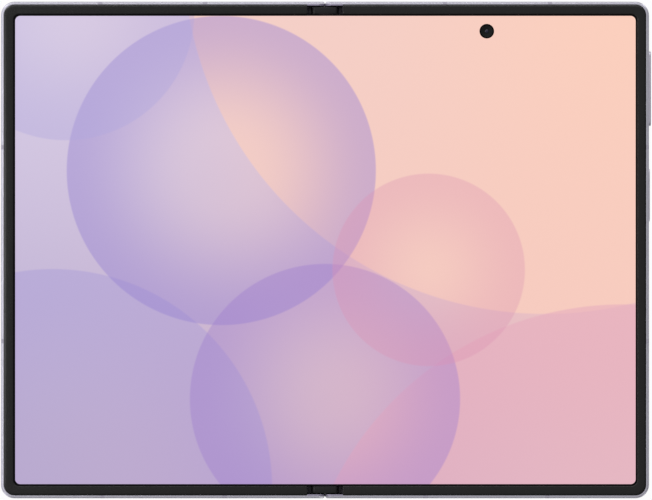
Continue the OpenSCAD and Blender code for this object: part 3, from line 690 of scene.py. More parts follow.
@dataclass(frozen=True)
class ScreenFinish(Paint):
    """The lit inner screen: a soft gradient under overlapping translucent discs."""

    name: str = "lit_screen"
    top_left: Rgb = (216, 204, 230)
    bottom_left: Rgb = (186, 170, 208)
    top_right: Rgb = (253, 207, 189)
    bottom_right: Rgb = (231, 186, 196)
    glows: tuple[Glow, ...] = (
        Glow((0.84, 1.10), 0.56, (254, 209, 190), 0.70, 0.50, 0.60),
        Glow((0.96, -0.26), 0.50, (232, 172, 190), 0.60, 0.42, 0.15),
        Glow((0.08, 0.02), 0.34, (166, 152, 216), 0.45, 0.30, 0.10),
        Glow((0.34, 0.66), 0.24, (150, 128, 210), 0.50, 0.20, 0.04),
        Glow((0.50, 0.20), 0.21, (158, 122, 206), 0.45, 0.20, 0.06),
        Glow((0.66, 0.46), 0.15, (220, 142, 178), 0.35, 0.16, 0.06),
        Glow((0.10, 0.98), 0.20, (176, 166, 222), 0.40, 0.20, 0.08),
    )
    brightness: float = 0.96
    glass: Rgb = (14, 13, 16)
    roughness: float = 0.12
    rough_vary: float = 0.04
    specular: float = 0.35

    def make(self) -> bpy.types.Material:
        """Builds the material: the picture as emission, dark glass below it."""
        made, nodes, shader = Nodes.material(self.name)
        uv = nodes.add("ShaderNodeUVMap", uv_map="screen_map").outputs["UV"]
        place = nodes.add("ShaderNodeSeparateXYZ", {0: uv}).outputs
        across, up = (nodes.rise(place[axis]) for axis in ("X", "Y"))
        left = nodes.mixed(up, linear(self.bottom_left), linear(self.top_left))
        right = nodes.mixed(up, linear(self.bottom_right), linear(self.top_right))
        colour = nodes.mixed(across, left, right)
        for glow in self.glows:
            disc = nodes.add("ShaderNodeGroup", node_tree=Groups.soft_disc())
            nodes.feed(disc, {
                "Centre": (*glow.centre, 0.0), "Radius": glow.radius, "Edge": glow.edge,
                "Depth": glow.depth, "Core": glow.core,
            })
            mask = nodes.maths("MULTIPLY", disc.outputs["Mask"], glow.strength)
            colour = nodes.mixed(mask, colour, linear(glow.colour))
        grain = nodes.add("ShaderNodeGroup", node_tree=Groups.grain())
        nodes.feed(grain, {
            "Colour": linear(self.glass), "Roughness": self.roughness, "Rough Vary": self.rough_vary,
        })
        nodes.feed(shader, {
            "Emission Color": colour,
            "Emission Strength": self.brightness,
            "Base Color": grain.outputs["Colour"],
            "Roughness": grain.outputs["Roughness"],
            "Specular IOR Level": self.specular,
        })
        return made


class Finishes:
    """Every plain finish of the phone, some as lit and shaded copies that carry painted light and
    shade.
    """

    RIM = Finish("satin_rim", (194, 192, 205), 0.36, 0.85, 0.03, 0.06, 9000.0, 40.0, 0.03)
    # Darker, matte copy of the frame metal: painted shade on the inner edge of the end walls.
    SILL = Finish("hinge_sill", (150, 144, 164), 0.5, 0.3, 0.04, 0.06, 9000.0, 60.0, 0.03,
                  specular=0.2)
    # Lit and shaded copies of the rim's metal for the cheeks: painted light, and painted shade on the
    # lower right.
    CHEEK_PALE = Finish("pale_cheek", (246, 243, 253), 0.55, 0.1, 0.03, 0.06, bump=0.03)
    CHEEK = Finish("cheek", (206, 203, 216), 0.55, 0.1, 0.03, 0.06, bump=0.03)
    CHEEK_LOW = Finish("low_cheek", (154, 152, 162), 0.55, 0.1, 0.03, 0.06, bump=0.03)
    # Lighter copy of the rim's metal: painted light against the shade on the right edge.
    KEY = Finish("satin_key", (212, 209, 222), 0.34, 0.85, 0.04, 0.08, 9000.0, 60.0, 0.05)
    BAND = Finish("antenna_plastic", (164, 160, 176), 0.45, vary=0.04)
    BEZEL = Finish("bezel_polymer", (8, 8, 8), 0.26, vary=0.14, bump=0.06, specular=0.37)
    # Black of the screen's edge, also used as painted shade at the seam and at the fold's ends.
    LINE = Finish("screen_edge_black", (4, 4, 5), 0.5, vary=0.05, specular=0.06)
    BACK = Finish("matte_back_glass", (196, 190, 212), 0.38, vary=0.03, bump=0.12, coat=0.15)
    ISLAND = Finish("island_metal", (186, 181, 200), 0.32, 0.75, 0.04, 0.08, 9000.0, 60.0, 0.06)
    RING = Finish("lens_ring_metal", (150, 147, 162), 0.22, 1.0, 0.05, 0.06, 9000.0, 90.0, 0.04)
    DARK_GLASS = Finish("black_glass", (7, 7, 9), 0.07, vary=0.1, rough_vary=0.03, bump=0.01)
    COVER = Finish("cover_glass", (9, 9, 12), 0.06, vary=0.12, rough_vary=0.04, bump=0.01, coat=0.3)
    COLLAR = Finish("camera_collar", (2, 2, 3), 0.5, vary=0.1, bump=0.02, specular=0.02)
    WELL = Finish("camera_well", (19, 22, 22), 0.4, vary=0.25, bump=0.03, specular=0.1)
    LENS = Finish("coated_lens", (20, 20, 44), 0.12, vary=0.3, rough_vary=0.02, bump=0.0,
                  specular=0.4)
    CAP = Finish("hinge_cap", (28, 28, 29), 0.36, 0.2, 0.1, 0.1, specular=0.25)
    HINGE_DARK = Finish("hinge_recess", (44, 42, 47), 0.4, 0.2, 0.1, 0.1, specular=0.25)
    SPINE = Finish("brushed_spine", (132, 129, 142), 0.3, 0.95, 0.05, 0.1, 5000.0, 60.0, 0.12,
                   (1.0, 0.02, 1.0))
    STEEL = Finish("hinge_steel", (168, 168, 174), 0.28, 1.0, 0.06, 0.1, 7000.0, 80.0, 0.1)
    BRASS = Finish("idler_brass", (196, 166, 104), 0.3, 1.0, 0.08, 0.1)
    COPPER = Finish("copper", (184, 112, 76), 0.34, 1.0, 0.1, 0.12, 3000.0, 90.0, 0.15)
    BATTERY = Finish("battery_wrap", (34, 35, 38), 0.5, 0.0, 0.12, 0.15, 2500.0, 50.0, 0.3)
    BOARD = Finish("circuit_board", (20, 64, 46), 0.42, 0.0, 0.3, 0.15, 1500.0, 400.0, 0.4)
    CAN = Finish("shield_can", (172, 172, 176), 0.36, 0.95, 0.08, 0.14, 4000.0, 90.0, 0.15)
    MODULE = Finish("module_black", (26, 26, 29), 0.46, 0.0, 0.12, 0.12)
    MAGNET = Finish("nickel_magnet", (150, 150, 156), 0.26, 1.0, 0.06, 0.08)
    FLASH = Finish("flash_lens", (240, 232, 200), 0.22, 0.0, 0.06, 0.08, 1600.0, 500.0, 0.3,
                   coat=0.5)
    TONGUE = Finish("connector_tongue", (18, 18, 20), 0.4, 0.0, 0.1, 0.1)
    SENSOR = Finish("key_sensor", (150, 147, 158), 0.3, 0.6, 0.04, 0.06)


# ---- Pieces ----


def settle(piece: Thing, body: str, finish: Paint, slot: str, *replaced: str) -> None:
    """Gives a piece its material, its body and the nodes it stands for.

    Args:
        piece: The object.
        body: CAD body that it moves with.
        finish: Its finish.
        slot: The record's material slot; not used.
        *replaced: CAD nodes that it stands for.
    """
    piece.data.materials.append(finish.material())
    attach(piece, body)
    if replaced:
        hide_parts(*replaced)
    LOG.info("%s: %d faces on %s", piece.name, len(piece.data.polygons), body)


@dataclass
class Bezel:
    """Raised border of one half, and the thin black line inside it: the screen's black edge plus
    painted shade of the border's inner wall.
    """

    side: Side
    arc_out: Pair = (0.62, 1.15)
    arc_steps: int = 12
    round_in: Pair = (0.2, 0.2)
    round_steps: int = 8
    foot: float = PHONE.panel_top + 0.005
    line_w: float = 0.42
    line_lap: float = 0.05
    line_top: float = 4.58
    line_bevel: Pair = (0.04, 0.03)
    end_r: float = 0.14
    end_rings: tuple[Pair, ...] = ((0.0, 0.82), (0.04, 0.96))
    corner_steps: int = 14

    def path(self, inset: float, start_x: float) -> Loop:
        """U-shaped path round the half at an inset: across the top, down the side and back.

        The corner radius falls evenly from the rim's to the screen's.

        Args:
            inset: Distance in from the rim.
            start_x: Distance from the fold where it starts.

        Returns:
            Open line of points, x mirrored for the left half.
        """
        reach = (inset - PHONE.rim_show) / (PHONE.screen_inset - PHONE.rim_show)
        rim_r = PHONE.corner_r - PHONE.rim_show
        r = rim_r + reach * (PHONE.screen_corner - rim_r)
        y_out = PHONE.half_h - inset - reach * PHONE.screen_drop
        shift = PHONE.screen_shift[0 if self.side is Side.RIGHT else 1]
        cx = PHONE.half_w - inset - reach * shift - r
        upper = corner_arc(cx, y_out - r, r, self.corner_steps)
        half = np.concatenate([[[start_x, y_out]], upper])
        whole = np.concatenate([half, half[::-1] * (1.0, -1.0)])
        return whole * (self.side.value, 1.0)

    def profile(self) -> np.ndarray:
        """Cross-section of the border as (inset, height).

        The outer edge is an arc: inset = width - R sin t, drop = R (1 - cos t). The inner edge is
        a quarter ellipse.
        """
        top, start, end = PHONE.bezel_top, PHONE.rim_show, PHONE.screen_inset - self.line_w
        width, radius = self.arc_out
        lean = np.linspace(math.asin(width / radius), 0.0, self.arc_steps)
        turn = np.linspace(QUARTER, 0.0, self.round_steps)
        out = np.c_[start + width - radius * np.sin(lean), top - radius * (1 - np.cos(lean))]
        inner = np.c_[end - self.round_in[0] * (1 - np.cos(turn)),
                      top - self.round_in[1] * (1 - np.sin(turn))]
        return np.concatenate([[[start, self.foot]], out, inner, [[end, self.foot]]])

    def swept(self, name: str, profile: np.ndarray) -> Thing:
        """Carries a profile along the U path, with its two ends drawn in round.

        Args:
            name: Name of the piece.
            profile: (n, 2) insets and heights.

        Returns:
            The new object.
        """
        middle = profile.mean(axis=0)
        first = []
        for ahead, share in self.end_rings:
            shaped = middle + (profile - middle) * share
            start = np.stack([self.path(i, PHONE.channel_x + ahead)[0] for i, _ in shaped])
            first.append(np.c_[start, shaped[:, 1]])
        body = carried(profile, lambda inset: self.path(inset, PHONE.channel_x + self.end_r))
        last = np.stack(first[::-1]) * (1.0, -1.0, 1.0)
        return Surface.lofted(name, np.concatenate([first, body, last]))

    def build(self) -> None:
        """Builds and dresses the border and its line."""
        word, body = self.side.word, self.side.body
        border = self.swept(f"{word}_border", self.profile())
        settle(border, body, Finishes.BEZEL, "bezel", f"{word}_bezel")
        out, inner = PHONE.screen_inset - self.line_w - self.line_lap, PHONE.screen_inset
        (across, down), top = self.line_bevel, self.line_top
        flat = [(out, self.foot), (out, top), (inner - across, top), (inner, top - down),
                (inner, self.foot)]
        line = self.swept(f"{word}_screen_line", np.array(flat))
        settle(line, body, Finishes.LINE, "bezel", f"{word}_bezel")


@dataclass
class RimTrim:
    """Softly eased upper edge of one half's frame, tinted where an antenna band crosses it."""

    side: Side
    profile: tuple[Pair, ...] = (
        (0.004, 4.385), (0.06, 4.468), (0.16, 4.572), (0.24, 4.652), (0.285, 4.692),
        (0.33, 4.714), (0.4, 4.724), (0.52, 4.732), (0.64, 4.738), (0.7, 4.73),
        (0.7, 4.6), (0.36, 4.6), (0.03, 4.34),
    )
    start_x: float = 1.5
    band_half_w: float = 0.55
    top_bands: Pair = (29.85, 56.0)
    bottom_bands: Pair = (25.0, 55.4)
    side_bands: Pair = (25.6, -22.7)
    corner_steps: int = 20

    def path(self, inset: float) -> Loop:
        """U-shaped path round the half at an inset, with points at each side of every band."""
        r, reach = PHONE.corner_r - inset, self.band_half_w
        x_out, y_out = PHONE.half_w - inset, PHONE.half_h - inset
        arc = corner_arc(x_out - r, y_out - r, r, self.corner_steps)
        top, bottom = (
            [self.start_x, *(x + step for x in bands for step in (-reach, reach))]
            for bands in (self.top_bands, self.bottom_bands)
        )
        middle = [y + step for y in self.side_bands for step in (reach, -reach)]
        line = np.concatenate([
            np.c_[top, np.full(len(top), y_out)],
            arc,
            np.c_[np.full(len(middle), x_out), middle],
            arc[::-1] * (1.0, -1.0),
            np.c_[bottom[::-1], np.full(len(bottom), -y_out)],
        ])
        return line * (self.side.value, 1.0)

    def banded(self, middles: np.ndarray) -> np.ndarray:
        """True for each face centre, in millimetres, that lies on an antenna band."""
        across, along = np.abs(middles[:, 0]), middles[:, 1]
        straight = across < PHONE.half_w - PHONE.corner_r
        found = np.zeros(len(middles), bool)
        for bands, end in ((self.top_bands, 1), (self.bottom_bands, -1)):
            for x in bands:
                found |= straight & (along * end > 0) & (np.abs(across - x) < self.band_half_w)
        for y in self.side_bands:
            found |= ~straight & (np.abs(along - y) < self.band_half_w)
        return found

    def build(self) -> None:
        """Builds the strip, dresses it and tints its bands."""
        rings = carried(self.profile, self.path)
        piece = Surface.lofted(f"{self.side.word}_rim_trim", rings)
        settle(piece, self.side.body, Finishes.RIM, "frame_metal")
        piece.data.materials.append(Finishes.BAND.material())
        middles = np.empty(len(piece.data.polygons) * 3)
        piece.data.polygons.foreach_get("center", middles)
        marks = self.banded(middles.reshape(-1, 3) / MM).astype(np.int32)
        piece.data.polygons.foreach_set("material_index", marks)


@dataclass
class FoldingScreen:
    """The one screen, in two flat fields and two strips that lie across the fold at the spine."""

    bend_w: float = 6.0
    inset: float = 3.3
    inset_y: float = 3.535
    strips: int = 42
    border_w: float = 0.4
    border_gap: float = 0.005
    border_drop: float = 0.02

    def mapped(self, piece: Thing) -> Thing:
        """Gives a piece the screen's own map: u = x / width + 1/2, v = y / height + 1/2."""
        mesh = piece.data
        corners = np.empty(len(mesh.loops), dtype=np.int32)
        mesh.loops.foreach_get("vertex_index", corners)
        places = np.empty(len(mesh.vertices) * 3)
        mesh.vertices.foreach_get("co", places)
        plan = places.reshape(-1, 3)[corners, :2] / MM
        uv = plan / (2.0 * PHONE.half_w, 2.0 * PHONE.half_h) + 0.5
        mesh.uv_layers.new(name="screen_map").data.foreach_set("uv", uv.ravel())
        return piece

    def field(self, side: Side) -> Thing:
        """Flat field of one half, with the camera's hole in the right one."""
        loops = [half_rect(side, self.bend_w, PHONE.half_w - self.inset,
                           PHONE.half_h - self.inset_y, PHONE.screen_corner, 0.0)]
        if side is Side.RIGHT:
            loops.append(circle(*PHONE.screen_cam, PHONE.screen_cam_r))
        outer, *holes = (
            [(loop, PHONE.panel_bottom), (loop, PHONE.panel_top)] for loop in loops
        )
        return self.mapped(Surface.plate(f"screen_{side.word}_field", outer, holes))

    def strip(self, name: str, side: Side, y0: float, y1: float, top: float) -> Thing:
        """Strip between the fold and one field: a row of cross-sections along x.

        Args:
            name: Name of the piece.
            side: The half that it reaches to.
            y0: Start along the fold.
            y1: End along the fold.
            top: Height of its upper face.

        Returns:
            The new object.
        """
        low = PHONE.panel_bottom
        section = np.array([[y0, low], [y1, low], [y1, top], [y0, top]])
        across = np.linspace(0.0, self.bend_w, self.strips)
        return Surface.along_x(name, across, [section] * self.strips, (side.value, 1))

    def bending(self, piece: Thing, finish: Paint) -> None:
        """Dresses a piece that lies across the fold between the spine and one half.

        Args:
            piece: The object.
            finish: Its finish.
        """
        piece.data.materials.append(finish.material())
        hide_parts("display_fold")
        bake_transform(piece)
        LOG.info("%s: %d faces across the fold", piece.name, len(piece.data.polygons))

    def build(self) -> None:
        """Builds, maps and dresses the fields, the strips and the strips' black borders."""
        finish = ScreenFinish()
        edge = PHONE.half_h - self.inset_y
        for side in Side:
            name = f"screen_{side.word}"
            settle(self.field(side), side.body, finish, "screen", f"display_{side.word}")
            lit = self.strip(f"{name}_bend", side, -edge, edge, PHONE.panel_top)
            self.bending(self.mapped(lit), finish)
            # The black borders continue the screen's black edge and its painted shade across the bend.
            for word, end in (("top", 1), ("bottom", -1)):
                low, high = sorted((end * (edge + self.border_gap), end * (edge + self.border_w)))
                top = PHONE.panel_top - self.border_drop
                border = self.strip(f"{name}_border_{word}", side, low, high, top)
                self.bending(border, Finishes.LINE)


@dataclass
class ScreenCamera:
    """Camera behind the inner screen: black collar, dark stepped well and a small coated lens."""

    play: float = 0.02
    collar_w: float = 0.3
    bevel: float = 0.03
    sunk: float = 0.01
    foot_drop: float = 0.6
    well_steps: int = 4
    step: float = 0.05
    step_w: float = 0.12
    lens_r: float = 0.48
    lens_rise: float = 0.14

    def build(self) -> None:
        """Builds and dresses the collar, the well and the lens."""
        top, foot = PHONE.panel_top - self.sunk, PHONE.panel_top - self.foot_drop
        out, cut = PHONE.screen_cam_r - self.play, self.bevel
        inner, lens_r = out - self.collar_w, self.lens_r
        collar = [(out, foot), (out, top - self.play), (out - cut, top), (inner + cut, top),
                  (inner, top - cut), (inner, foot)]
        radii = np.linspace(inner - self.sunk, lens_r + self.step_w, self.well_steps)
        depth = top - self.step * np.arange(1, self.well_steps + 1)
        well = [(radii[0], foot), *zip(radii, depth), (lens_r, depth[-1]), (lens_r, foot)]
        lens = dome(lens_r - self.sunk, foot, depth[-1] - self.play, self.lens_rise)
        for word, profile, wrap, finish in (
            ("collar", collar, True, Finishes.COLLAR),
            ("well", well, True, Finishes.WELL),
            ("lens", lens, False, Finishes.LENS),
        ):
            made = Surface.turned(f"screen_camera_{word}", PHONE.screen_cam, profile, wrap)
            settle(made, "right_half", finish, "dark_glass", "inner_camera")


@dataclass(frozen=True)
class FoldEnd:
    """One end of the fold, on one half."""

    end: int
    side: Side

    @property
    def word(self) -> str:
        """Name of the end."""
        return "top" if self.end > 0 else "bottom"

    @property
    def flip(self) -> tuple[int, int]:
        """Signs of x and y there."""
        return self.side.value, self.end

    def name(self, kind: str) -> str:
        """Name of a piece there."""
        return f"{kind}_{self.word}_{self.side.word}"


@dataclass(frozen=True)
class Bar:
    """Rounded bar that lies along the fold near its end, by its extents in millimetres."""

    x: Pair
    y: Pair
    z: Pair
    radii: tuple[float, float, float, float]
    steps: int
    edge: float
    ease_z: float = 1.0
    end_steps: int = 4

    def build(self, name: str, at: FoldEnd) -> Thing:
        """Builds it: an (x, z) section carried along y, both ends rounded as in edge_rings().

        Args:
            name: Name of the piece.
            at: The end and half where it lies.

        Returns:
            The new object.
        """
        near, far = sorted(at.side.value * x for x in self.x)
        start, stop = sorted(at.end * y for y in self.y)

        def section(inset: float) -> Loop:
            """Rounded section of the bar at an inset."""
            rise = inset * self.ease_z
            return rounded_rect(near + inset, far - inset, self.z[0] + rise, self.z[1] - rise,
                                self.radii, self.steps)

        rings = edge_rings(section, start, stop, self.edge, self.edge, self.end_steps)
        stack = [np.c_[loop[:, 0], np.full(len(loop), y), loop[:, 1]] for loop, y in rings]
        return Surface.lofted(name, np.stack(stack))


@dataclass
class HingeEnds:
    """What shows at both ends of the fold: caps and steps, lips, sills, cheeks, skirts, ledges."""

    cap: Bar = Bar((-3.25, 3.25), (PHONE.spine_half_l - PHONE.cap_l, PHONE.spine_half_l),
                   (1.08, 4.4), (0.75, 0.75, 1.2, 1.2), 8, 0.14)
    step: Bar = Bar((3.32, 4.26), (58.45, 60.57), (2.62, 2.94), (0.1, 0.1, 0.04, 0.04), 4, 0.05)
    ledge: Bar = Bar((4.36, 4.52), (58.0, 60.84), (PHONE.axle[1], PHONE.axle[1] + 0.06),
                     (LEAST_CORNER,) * 4, 2, 0.01, 0.0)
    lip_x: Pair = (PHONE.seam_x - 0.046, PHONE.seam_x + 0.002)
    lip_y: Triple = (59.4, 60.88, 61.42)
    lip_z: Triple = (0.15, 0.54, 2.5)
    sill_y: Triple = (60.88, 61.24, 61.34)
    sill_x: Pair = (0.06, 4.42)
    sill_bend: Pair = (0.8, 1.5)
    sill_t: float = 0.048
    sunk: float = 0.02
    bevel: float = 0.03
    skirt_y: Pair = (60.62, 60.89)
    skirt_drop: Pair = (0.32, 0.08)
    wall_r: float = 2.3
    cheek_x: Pair = (0.08, 1.56)
    cheek_t: Pair = (0.005, 0.012)
    cheek_bevel: float = 0.01
    chamfer_z: float = 4.4
    steps: tuple[int, int, int] = (32, 28, 24)

    def lip(self, at: FoldEnd) -> Thing:
        """Thin soft L-shaped lip on the half's face at the seam, which closes the view through; black
        as painted shade.
        """
        (y_in, y_wall, y_out), (low, step, high) = self.lip_y, self.lip_z
        shape = np.array([[y_in, low], [y_out, low], [y_out, high], [y_wall, high],
                          [y_wall, step], [y_in, step]])
        return Surface.along_x(at.name("seam_lip"), self.lip_x, [shape] * 2, at.flip)

    def wall_top(self, across: np.ndarray) -> np.ndarray:
        """Height of the half's end wall at distances from the fold.

        Its corner is an arc about the axle: z = min(rim, axle z + sqrt(r^2 - (x - axle x)^2)).
        """
        arc = np.sqrt(np.maximum(self.wall_r**2 - (across - PHONE.axle[0]) ** 2, 0.0))
        arc = np.where(across < PHONE.axle[0], arc, self.wall_r)
        return np.minimum(PHONE.rim_top, PHONE.axle[1] + arc)

    def sill(self, at: FoldEnd) -> Thing:
        """Step on the inner edge of the half's end wall, wider round the notch, darker as painted
        shade.
        """
        across = np.linspace(*self.sill_x, self.steps[0])
        y_in, y_far, y_near = self.sill_y
        lift, foot, cut = self.sill_t, self.sunk, self.bevel
        sections = [
            np.array([[y_in, z - foot], [y, z - foot], [y, z + lift - 0.5 * foot],
                      [y - cut, z + lift], [y_in + cut, z + lift], [y_in, z + lift - foot]])
            for y, z in zip(np.interp(across, self.sill_bend, (y_near, y_far)), self.wall_top(across))
        ]
        return Surface.along_x(at.name("hinge_sill"), across, sections, at.flip)

    def cheek(self, at: FoldEnd) -> Thing:
        """Pale satin facing on the rounded corner of the end wall, outside the sill: painted light.

        Its outer edge follows the plan's corner, y = centre + sqrt(r^2 - (centre x - x)^2).
        """
        across = np.linspace(*self.cheek_x, self.steps[1])
        height = self.wall_top(across)
        r = PHONE.seam_corner_r
        off = np.minimum(across - PHONE.seam_x - r, 0.0)
        y_out = PHONE.half_h - r + np.sqrt(np.maximum(r**2 - off**2, 0.0))
        y_out = y_out - np.maximum(height - self.chamfer_z, 0.0) - self.bevel
        y_in = np.minimum(self.sill_y[2] + self.sunk, y_out - self.bevel)
        (edge, top), cut, foot = self.cheek_t, self.cheek_bevel, self.sunk
        sections = [
            np.array([[a, z - foot], [b, z - foot], [b, z + edge], [b - cut, z + top], [a, z + top]])
            for a, b, z in zip(y_in, y_out, height)
        ]
        return Surface.along_x(at.name("hinge_cheek"), across, sections, at.flip)

    def skirt(self, at: FoldEnd) -> Thing:
        """Black strip on the end wall's inner face, which narrows the gap to the spine's cap; black as
        painted shade.
        """
        across = np.linspace(*self.sill_x, self.steps[2])
        (y_in, y_out), (low, high), cut = self.skirt_y, self.skirt_drop, self.sunk
        sections = [
            np.array([[y_in, z - low], [y_out, z - low], [y_out, z - high], [y_in + cut, z - high],
                      [y_in, z - high - cut]])
            for z in self.wall_top(across)
        ]
        return Surface.along_x(at.name("hinge_skirt"), across, sections, at.flip)

    @staticmethod
    def tone(at: FoldEnd) -> Finish:
        """Finish of a cheek: painted light on three, painted shade on the lower right, so all four
        show as bright as the rim beside them.
        """
        if at.side is Side.LEFT:
            return Finishes.CHEEK_PALE
        return Finishes.CHEEK if at.end > 0 else Finishes.CHEEK_LOW

    def build(self) -> None:
        """Builds and dresses the ends."""
        for end in (1, -1):
            at = FoldEnd(end, Side.RIGHT)
            cap = self.cap.build(f"spine_cap_{at.word}", at)
            settle(cap, "spine", Finishes.CAP, "cap", "spine_end_caps")
            for side in Side:
                at = FoldEnd(end, side)
                step = self.step.build(at.name("spine_step"), at)
                settle(step, "spine", Finishes.HINGE_DARK, "cap", "spine_end_caps")
                settle(self.lip(at), side.body, Finishes.LINE, "bezel")
                settle(self.sill(at), side.body, Finishes.SILL, "frame_metal")
                settle(self.cheek(at), side.body, self.tone(at), "frame_metal")
                settle(self.skirt(at), side.body, Finishes.LINE, "bezel")
                # The ledge darkens the top of the channel wall: painted shade of the deep channel.
                ledge = self.ledge.build(at.name("channel_ledge"), at)
                settle(ledge, side.body, Finishes.HINGE_DARK, "bezel")


@dataclass
class SideKey:
    """One key in the right edge: a pill-ended bar with a rounded face, lightened as painted light."""

    name: str
    node: str
    body: str
    y: float
    length: float
    out: float
    height: float = 1.9
    depth: float = 1.4
    edges: Pair = (0.05, 0.22)
    steps: int = 6

    def build(self) -> None:
        """Builds and dresses the bar: (y, z) pill loops stacked along x."""
        half_l, half_t = self.length / 2, self.height / 2
        y0, y1 = self.y - half_l, self.y + half_l
        z0, z1 = PHONE.key_z - half_t, PHONE.key_z + half_t

        def pill(inset: float) -> Loop:
            """Pill loop at an inset."""
            ends = (half_t - LEAST_CORNER - inset,) * 4
            return rounded_rect(y0 + inset, y1 - inset, z0 + inset, z1 - inset, ends)

        face = PHONE.half_w + self.out
        rings = edge_rings(pill, face - self.depth, face, *self.edges, self.steps)
        loops, places = zip(*rings)
        bar = Surface.along_x(self.name, places, loops)
        settle(bar, self.body, Finishes.KEY, "frame_metal", self.node)


@dataclass
class RearSide:
    """Back of the camera half: glass with a pill-shaped hole, camera island and flash."""

    island_edges: Pair = (0.45, 0.02)
    island_low: float = -1.1
    island_steps: int = 7
    pill_steps: int = 28
    glass_play: float = 0.06
    play: float = 0.01
    hole_flare: float = 0.1
    ring: tuple[Pair, ...] = (
        (6.75, 0.5), (6.75, -1.2), (6.67, -1.34), (6.53, -1.4), (6.05, -1.4), (5.9, -1.34),
        (5.85, -1.24), (5.85, 0.5),
    )
    pane: tuple[Pair, ...] = (
        (5.84, -0.75), (5.84, -1.21), (5.79, -1.25), (3.4, -1.25), (3.36, -1.19), (3.36, -0.75),
    )
    well: tuple[Pair, ...] = (
        (3.35, -0.75), (3.35, -0.95), (3.3, -1.15), (3.0, -1.15), (2.96, -1.07), (2.6, -1.07),
        (2.56, -0.99), (2.15, -0.99), (2.1, -0.91), (2.1, -0.75),
    )
    crown: tuple[float, float, float, float, float, int] = (2.09, -0.75, -0.89, -0.26, 0.05, 12)
    flash_r: float = 2.5
    flash_low: float = -1.05
    flash_lap: Pair = (0.02, 0.05)
    flash_rise: Pair = (0.1, 0.06)
    flash_middle: float = 0.04
    ripple: float = 0.05
    ripples: float = 9.0
    flash_steps: int = 25

    def pill(self, grow: float) -> Loop:
        """Island's plan outline, grown by a distance."""
        (cx, cy), (w, length) = PHONE.island, PHONE.island_size
        hw, hl = w / 2 + grow, length / 2 + grow
        ends = (hw - self.play,) * 4
        return rounded_rect(cx - hw, cx + hw, cy - hl, cy + hl, ends, self.pill_steps)

    def island(self) -> None:
        """Builds the island with its lens and flash holes."""
        low, top = self.island_low, PHONE.glass_t
        outer = edge_rings(lambda inset: self.pill(-inset), low, top, *self.island_edges,
                           self.island_steps)
        places = [(y, self.ring[0][0]) for y in PHONE.lens_y] + [(PHONE.flash_y, self.flash_r)]
        holes = []
        for y, r in places:
            hole = circle(PHONE.island[0], y, r + self.play)
            flare = circle(PHONE.island[0], y, r + self.hole_flare)
            holes.append([(flare, low), (hole, low + self.hole_flare), (hole, top)])
        block = Surface.plate("camera_island_block", outer, holes)
        settle(block, "right_half", Finishes.ISLAND, "island", "camera_island")

    def lenses(self) -> None:
        """Builds each lens: metal ring, dark pane, stepped well and coated dome."""
        for number, y in enumerate(PHONE.lens_y, start=1):
            for word, profile, finish, slot, node in (
                ("ring", self.ring, Finishes.RING, "ring", "camera_lens_rings"),
                ("pane", self.pane, Finishes.DARK_GLASS, "dark_glass", "camera_lens_glass"),
                ("well", self.well, Finishes.WELL, "dark_glass", "camera_lens_glass"),
                ("dome", dome(*self.crown), Finishes.LENS, "dark_glass", "camera_lens_glass"),
            ):
                at, wrap = (PHONE.island[0], y), word != "dome"
                made = Surface.turned(f"rear_lens_{number}_{word}", at, profile, wrap)
                settle(made, "right_half", finish, slot, node)

    def flash(self) -> None:
        """Builds the flash: a shallow dome with ring-shaped ridges."""
        low, (wall_lap, face_lap), (wall, face) = self.flash_low, self.flash_lap, self.flash_rise
        out = self.flash_r - wall_lap
        share = np.linspace(1.0, self.flash_middle, self.flash_steps)
        waves = self.ripple * np.cos(share * self.ripples * math.pi)
        ridges = zip(share * (self.flash_r - face_lap), low + face + waves)
        profile = [(out, PHONE.glass_t), (out, low + wall), *ridges]
        made = Surface.turned("flash_dome", (PHONE.island[0], PHONE.flash_y), profile)
        settle(made, "right_half", Finishes.FLASH, "flash", "flash_lens")

    def build(self) -> None:
        """Builds the whole back."""
        pane = Surface.outer_pane("back_glass_pane", Side.RIGHT, self.pill(self.glass_play))
        settle(pane, "right_half", Finishes.BACK, "back_glass", "rear_glass")
        self.island()
        self.lenses()
        self.flash()


@dataclass
class CoverFace:
    """Outer face of the left half: glossy pane with a small camera behind it."""

    at: Pair = (-PHONE.screen_cam[0], PHONE.screen_cam[1])
    cam_r: float = 1.8
    foot: float = 0.5
    steps: tuple[Pair, ...] = (
        (1.79, 0.02), (1.45, 0.02), (1.42, 0.1), (0.95, 0.14), (0.92, 0.22), (0.66, 0.24),
    )
    lens_r: float = 0.65
    lens_z: Pair = (0.3, -0.14)

    def build(self) -> None:
        """Builds the pane, its camera hole and the lens."""
        pane = Surface.outer_pane("cover_pane", Side.LEFT, circle(*self.at, self.cam_r))
        rim = [(self.steps[0][0], self.foot), *self.steps, (self.steps[-1][0], self.foot)]
        well = Surface.turned("cover_camera_well", self.at, rim, wrap=True)
        crown = dome(self.lens_r, self.foot, *self.lens_z)
        lens = Surface.turned("cover_camera_lens", self.at, crown)
        for made, finish in ((pane, Finishes.COVER), (well, Finishes.WELL), (lens, Finishes.LENS)):
            settle(made, "left_half", finish, "dark_glass", "cover_glass")


